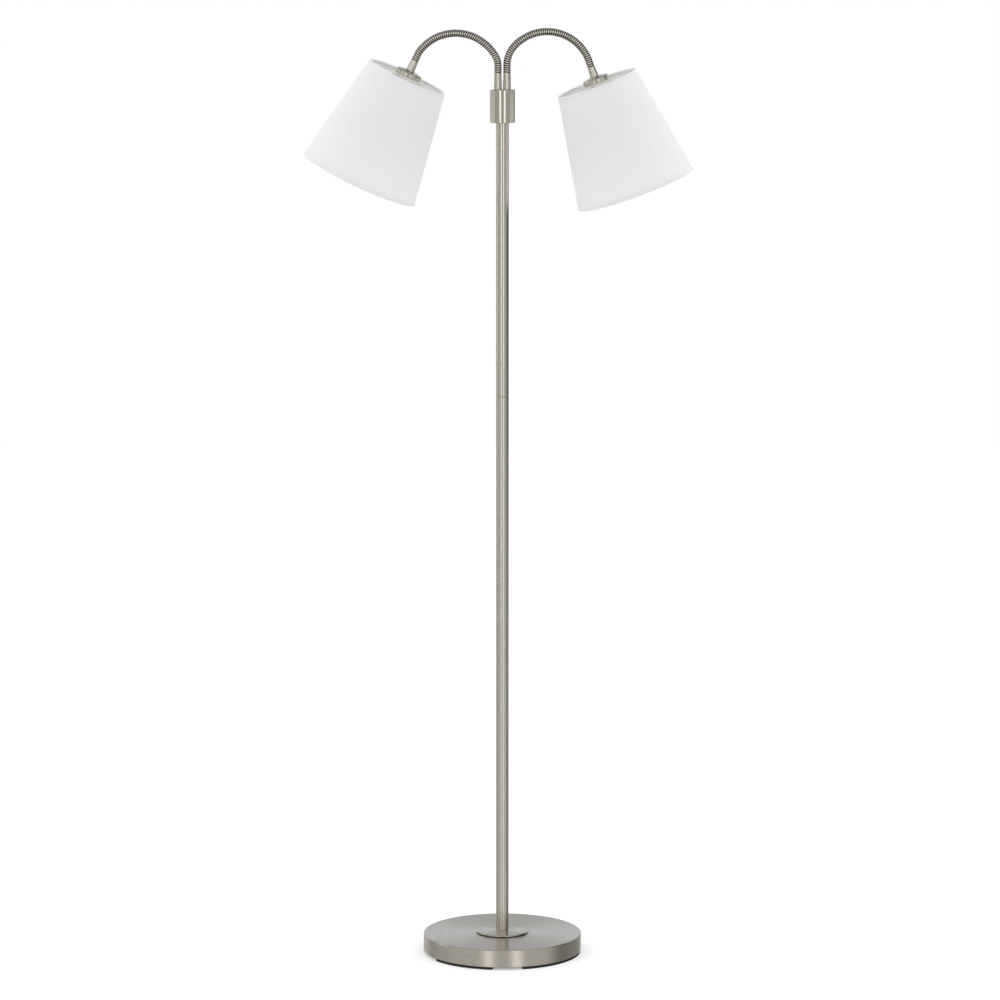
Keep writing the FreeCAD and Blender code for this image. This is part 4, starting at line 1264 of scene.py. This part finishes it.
    def carrier(self) -> None:
        """The hub, three spokes and the top wire ring, and the wire in the hem."""
        material = self.plain(Slot.WIRE)
        level = self.rim + self.wire + self.wire_inset
        ring = self.wire_corners(level)
        shape = turned_shape(rounded(ring, True), self.place, 128, True)
        hub = [
            (self.hub_bore, self.rim), (self.hub_radius, self.rim, 0.3, 2),
            (self.hub_radius, self.rim + self.hub_plate, 0.4, 3),
            (self.hub_bore, self.rim + self.hub_plate, 0.3, 2),
        ]
        turned_shape(rounded(hub, True), self.place, 96, True, into=shape)
        for bearing in (90, 210, 330):
            self.spoke(shape, bearing, ring[0][0] - self.wire)
        self.settle(new_piece(f"{self.name}_carrier", shape, material), Slot.WIRE, "shade_frame")
        level = self.rim + self.shade_height - self.wire - self.wire_inset
        self.settle(self.turned("hem_wire", self.wire_corners(level), material), Slot.WIRE, "shade_hem_ring")

    def spoke(self, shape: Shape, bearing: float, reach: float) -> None:
        """Adds a flat spoke from the hub to the top wire ring.

        Args:
            shape: The shape to add to.
            bearing: The spoke's direction, in degrees.
            reach: The radius that it ends at.
        """
        bar = bmesh.new()
        turn = Matrix.Rotation(math.radians(bearing), 4, "Z")
        centre = Vector(((reach + self.spoke_root) / 2, 0, self.rim + self.hub_plate / 2)) * MM
        size = Vector((reach - self.spoke_root, self.spoke_width, self.hub_plate, 1 / MM)) * MM
        matrix = self.place @ turn @ Matrix.Translation(centre) @ Matrix.Diagonal(size)
        bmesh.ops.create_cube(bar, size=1.0, matrix=matrix)
        edge = self.spoke_edge * MM
        bmesh.ops.bevel(bar, geom=bar.edges[:], offset=edge, segments=2, affect="EDGES", clamp_overlap=True)
        mesh = bpy.data.meshes.new("spoke")
        bar.to_mesh(mesh)
        bar.free()
        shape.from_mesh(mesh)
        bpy.data.meshes.remove(mesh)

    def shade(self) -> None:
        """The cone in one shell: cloth outside, a stiff white liner inside, and both edges bound with tape.

        It is one piece, so that daylight comes through its wall as through the real one.
        """
        top, bottom = self.rim, self.rim + self.shade_height
        full = self.wall / math.cos(self.slope())
        cone: list[tuple[float, ...]] = []
        for shift, way in ((0.0, 1), (-full, -1)):
            proud = way * self.tape
            face = []
            for edge, inwards in ((top, 1), (bottom, -1)):
                hem = edge + inwards * self.hem
                radius, rim_radius = self.wall_radius(hem) + shift, self.wall_radius(edge) + shift
                band = [(rim_radius + proud, edge - inwards * self.tape, 0.5, 4)]
                band += [(radius + proud, hem, 0.1, 2), (radius, hem)]
                face += band[::inwards]
            cone += face[::way]
        wall = self.turned("shade_cloth", cone, WovenCloth().material(f"{self.name}_shade_cloth"), 192)
        self.lay_cloth(wall)
        wall.data.materials.append(LINER.material(f"{self.name}_liner"))
        axis = self.place.col[2].to_3d()
        for face in wall.data.polygons:
            outwards = face.center - self.place.translation
            outwards -= axis * outwards.dot(axis)
            face.material_index = 0 if face.normal.dot(outwards) > 0 else 1
        self.settle(wall, Slot.CLOTH, "shade")
        self.seam(TAPE.material(f"{self.name}_shade_tape"))

    def lay_cloth(self, piece: Piece) -> None:
        """Lays the cone's UV map out flat, as its cloth was cut: straight warp, in metres."""
        to_local = self.place.inverted()
        slant = math.sin(self.slope())
        apex = self.rim - self.shade_top / math.tan(self.slope())
        layer = piece.data.uv_layers.active.data
        for polygon in piece.data.polygons:
            middle = to_local @ polygon.center
            facing = math.atan2(-middle.y, -middle.x)  # nought opposite the seam
            for loop in polygon.loop_indices:
                point = to_local @ piece.data.vertices[piece.data.loops[loop].vertex_index].co
                turn = math.atan2(-point.y, -point.x)
                turn += math.tau * round((facing - turn) / math.tau)
                run = math.hypot(math.hypot(point.x, point.y), point.z - apex * MM)
                layer[loop].uv = (run * math.sin(turn * slant), run * math.cos(turn * slant))

    def seam(self, cloth: Material) -> None:
        """The cloth's lapped seam, a strip up the back of the cone."""
        shape = bmesh.new()
        layer = shape.loops.layers.uv.verify()
        half, lift, rows, inset, sunk = self.seam_width / 2, self.seam_lift, 24, 0.6, -0.2
        profile = [(-half, sunk), (-half, lift / 2), (inset - half, lift)]
        profile += [(half - inset, lift), (half, lift / 2), (half, sunk)]
        start, run = self.rim + inset, self.shade_height - 2 * inset
        places: dict[bmesh.types.BMVert, Point] = {}
        rings = []
        for row in range(rows + 1):
            level = start + run * row / rows
            radius = self.wall_radius(level)
            ring = []
            for across, out in profile:
                ring.append(shape.verts.new(self.place @ polar(radius + out, across / radius, level)))
                places[ring[-1]] = (across * MM, level * MM)
            rings.append(ring)
        for face in skin(shape, rings):
            for loop in face.loops:
                loop[layer].uv = places[loop.vert]
        self.settle(new_piece(f"{self.name}_shade_seam", shape, cloth), Slot.CLOTH, "shade")

    def bulb(self) -> None:
        """The opal globe on its threaded cap."""
        foot, centre, ball, neck, hollow = 61.0, 108.0, 30.0, 14.0, 40.0
        drop = math.sqrt((hollow + ball) ** 2 - (hollow + neck) ** 2)
        bend = math.atan2(drop, hollow + neck)
        outline = [(0.0, foot + 0.8), (neck - 0.8, foot + 0.8), (neck - 0.8, foot), (neck, foot)]
        for step in range(11):
            turn = bend * step / 10
            outline.append((neck + hollow * (1 - math.cos(turn)), centre - drop + hollow * math.sin(turn)))
        for step in range(1, 28):
            turn = -bend + (math.pi / 2 + bend) * step / 28
            outline.append((ball * math.cos(turn), centre + ball * math.sin(turn)))
        outline.append((0.0, centre + ball))
        shape = turned_shape(outline, self.place, 96, False)
        globe = new_piece(f"{self.name}_globe", shape, self.plain(Slot.OPAL))
        self.settle(globe, Slot.OPAL, "bulb_globe")
        crest, root, pitch, contact = 13.1, 12.3, 3.6, 5.0
        corners = [
            (0.0, self.socket_end), (contact, self.socket_end, 0.8, 4), (contact, self.socket_end + 2.0),
            (root, self.socket_end + 2.6, 0.6, 3),
        ]
        turn = ((root, 0.0, 0.5, 3), (crest, 0.3, 0.5, 3), (crest, 0.7, 0.5, 3))
        corners += thread(turn, self.socket_end + 4.5, foot - 3.0, pitch)
        corners += [(root, corners[-3][1] + pitch), (crest, foot - 1.5, 0.4, 3), (crest, foot), (0.0, foot)]
        cap = self.turned("threaded_cap", corners, self.plain(Slot.CAP), 64, False)
        self.settle(cap, Slot.CAP, "bulb_cap")


# ---- Studio ----


@dataclass(frozen=True)
class StripLight:
    """An upright soft strip round the lamp, or a dark flag where its strength is below nought."""

    bearing: float  # degrees from the front, towards the right
    half_width: float
    strength: float
    low_strength: float  # in what a shiny side mirrors of the floor
    softness: float


@dataclass(frozen=True)
class Studio:
    """The camera at the photograph's view, plain soft light on a pale floor, and strips in reflections.

    A pair gives where a soft light starts and where it is full, along Y or Z of a unit direction.
    """

    camera_place: tuple[float, float, float] = (-0.0036, -6.380, 1.5916)
    camera_pitch: float = 82.0
    lens: float = 154.2
    surround: float = 0.39
    low_surround: float = 0.68
    from_floor: Point = (-0.15, -0.05)
    strips: tuple[StripLight, ...] = (
        StripLight(-98, 9, 1.2, -0.2, 4),
        StripLight(-20, 6, 2.2, 0.3, 4),
        StripLight(21, 6, 2.0, 0.55, 5),
        StripLight(-150, 28, 0.25, -0.1, 12),
        StripLight(-112, 22, 0.0, -0.26, 14),
        StripLight(3, 6, -0.14, 0.0, 3),
        StripLight(118, 38, -0.37, -0.37, 14),
    )
    backdrop: float = 0.74  # behind the lamp and above the floor, which the base's top mirrors
    backdrop_y: Point = (0.2, 0.7)
    backdrop_z: Point = (0.02, 0.1)
    sky: tuple[float, float, float] = (0.93, 0.98, 1.06)  # the backdrop's tint
    front_box: float = 1.2  # a wide soft light above the camera
    front_box_y: Point = (-0.1, -0.5)
    front_box_z: Point = (0.12, 0.3)
    overhead: float = 0.4
    overhead_z: Point = (0.4, 0.6)
    underneath: float = 0.2
    underneath_z: Point = (-0.4, -0.6)
    room: float = 0.72
    side_lift: float = 0.6
    floor_colour: str = "#E6E6E6"
    floor_lift: float = 0.36
    floor_reach: float = 6.0

    def build(self) -> None:
        """Makes the camera first, then the world and the floor."""
        self.camera()
        self.world()
        self.floor()

    def camera(self) -> None:
        """Places the camera."""
        data = bpy.data.cameras.new("camera")
        data.lens = self.lens
        data.sensor_width = 36.0
        data.clip_end = 100.0
        camera = linked("camera", data)
        camera.location = self.camera_place
        camera.rotation_euler = (math.radians(self.camera_pitch), 0.0, 0.0)
        bpy.context.scene.camera = camera

    def world(self) -> None:
        """White behind the lamp, plain soft light on it, and banded light in its reflections."""
        world = bpy.data.worlds.new("studio")
        bpy.context.scene.world = world
        world.use_nodes = True
        world.cycles.sampling_method = "NONE"
        nodes = Nodes(world.node_tree)
        nodes.tree.nodes.clear()
        x, y, z = nodes.split(nodes.add("ShaderNodeTexCoord").outputs["Generated"])
        bearing = nodes.math("DEGREES", nodes.math("ARCTAN2", x, nodes.math("MULTIPLY", y, -1.0)))
        level = nodes.spread(z, self.low_surround, self.surround, *self.from_floor)
        for strip in self.strips:
            away = nodes.math("ABSOLUTE", nodes.math("SUBTRACT", bearing, strip.bearing))
            share = nodes.step(away, strip.half_width + strip.softness, strip.half_width - strip.softness)
            strength = nodes.spread(z, strip.low_strength, strip.strength, *self.from_floor)
            level = nodes.math("MULTIPLY_ADD", share, strength, level)
        beyond = nodes.math("MULTIPLY", nodes.step(y, *self.backdrop_y), nodes.step(z, *self.backdrop_z))
        boxed = nodes.math("MULTIPLY", nodes.step(y, *self.front_box_y), nodes.step(z, *self.front_box_z))
        for share, strength in (
            (beyond, self.backdrop),
            (boxed, self.front_box),
            (nodes.step(z, *self.overhead_z), self.overhead),
            (nodes.step(z, *self.underneath_z), self.underneath),
        ):
            level = nodes.mix(share, level, strength)
        room = nodes.math("MULTIPLY_ADD", nodes.math("ABSOLUTE", x), self.side_lift, self.room)
        ray = nodes.add("ShaderNodeLightPath").outputs
        seen = nodes.mix(ray["Is Camera Ray"], nodes.mix(ray["Is Glossy Ray"], room, level), 1.0)
        cool = nodes.math("MULTIPLY", beyond, ray["Is Glossy Ray"])
        tint = nodes.mix_colours(cool, (1, 1, 1, 1), (*self.sky, 1))
        light = nodes.out("ShaderNodeBackground", {"Color": tint, "Strength": seen})
        nodes.add("ShaderNodeOutputWorld", {"Surface": light})

    def floor(self) -> None:
        """A white floor that keeps the lamp's soft shadow, and glows just enough to meet the background."""
        nodes = FinishNodes("floor")
        ray = nodes.add("ShaderNodeLightPath").outputs
        paper = nodes.out("ShaderNodeBsdfDiffuse", {"Color": linear(self.floor_colour)})
        lift = nodes.math("MULTIPLY", ray["Is Camera Ray"], self.floor_lift)
        glow = nodes.out("ShaderNodeEmission", {"Strength": lift})
        material = nodes.close(nodes.out("ShaderNodeAddShader", {0: paper, 1: glow}))
        mesh = bpy.data.meshes.new("floor")
        reach = self.floor_reach
        corners = [(-reach, -reach, 0), (reach, -reach, 0), (reach, reach, 0), (-reach, reach, 0)]
        mesh.from_pydata(corners, [], [(0, 1, 2, 3)])
        mesh.materials.append(material)
        plane = linked("floor", mesh)
        plane.visible_glossy = False  # the strips' light reaches the polished pole down to its foot


# ---- The whole lamp ----


def finish_cad_nodes(frame: dict[str, Any]) -> None:
    """Gives each CAD node that stays a procedural finish by its slot.
    """
    finishes: dict[Slot, Material] = {}
    for part in frame["record"]["subparts"]:
        node, slot = frame["nodes"][part["node"]], Slot(part["material_slot"])
        if node.hide_render:
            continue
        if slot not in finishes:
            maker = NICKEL if slot is Slot.NICKEL else PLAIN_FINISHES.get(slot, LINER)
            finishes[slot] = maker.material(f"{slot.value}_plain")
        for material_slot in node.material_slots:
            material_slot.material = finishes[slot]
        LOG.info("%s keeps its CAD shape in %s", node.name, slot.value)


ARM_PATHS = (
    ArmPath("left", -1, (26.5, 69.0, 27.0), (31.0, 110.5), 25.5, (-6.7, 0.0, 1334.7)),
    ArmPath("right", 1, (42.0, 67.5, 45.0), (45.0, 108.0), 20.4, (6.7, 0.0, 1334.7)),
)


def main() -> None:
    """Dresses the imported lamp."""
    logging.basicConfig(level=logging.INFO, format="%(name)s: %(message)s")
    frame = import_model()
    bpy.context.scene.view_settings.view_transform = "Standard"
    Studio().build()
    Base().build()
    Pole().build()
    coil, knurl = ribbed_tube_nodes(), knurled_ring_nodes()
    for path in ARM_PATHS:
        FlexibleArm(path).build(coil)
        Head(path.name, path.head_place()).build(knurl)
    finish_cad_nodes(frame)


if __name__ == "__main__":
    main()
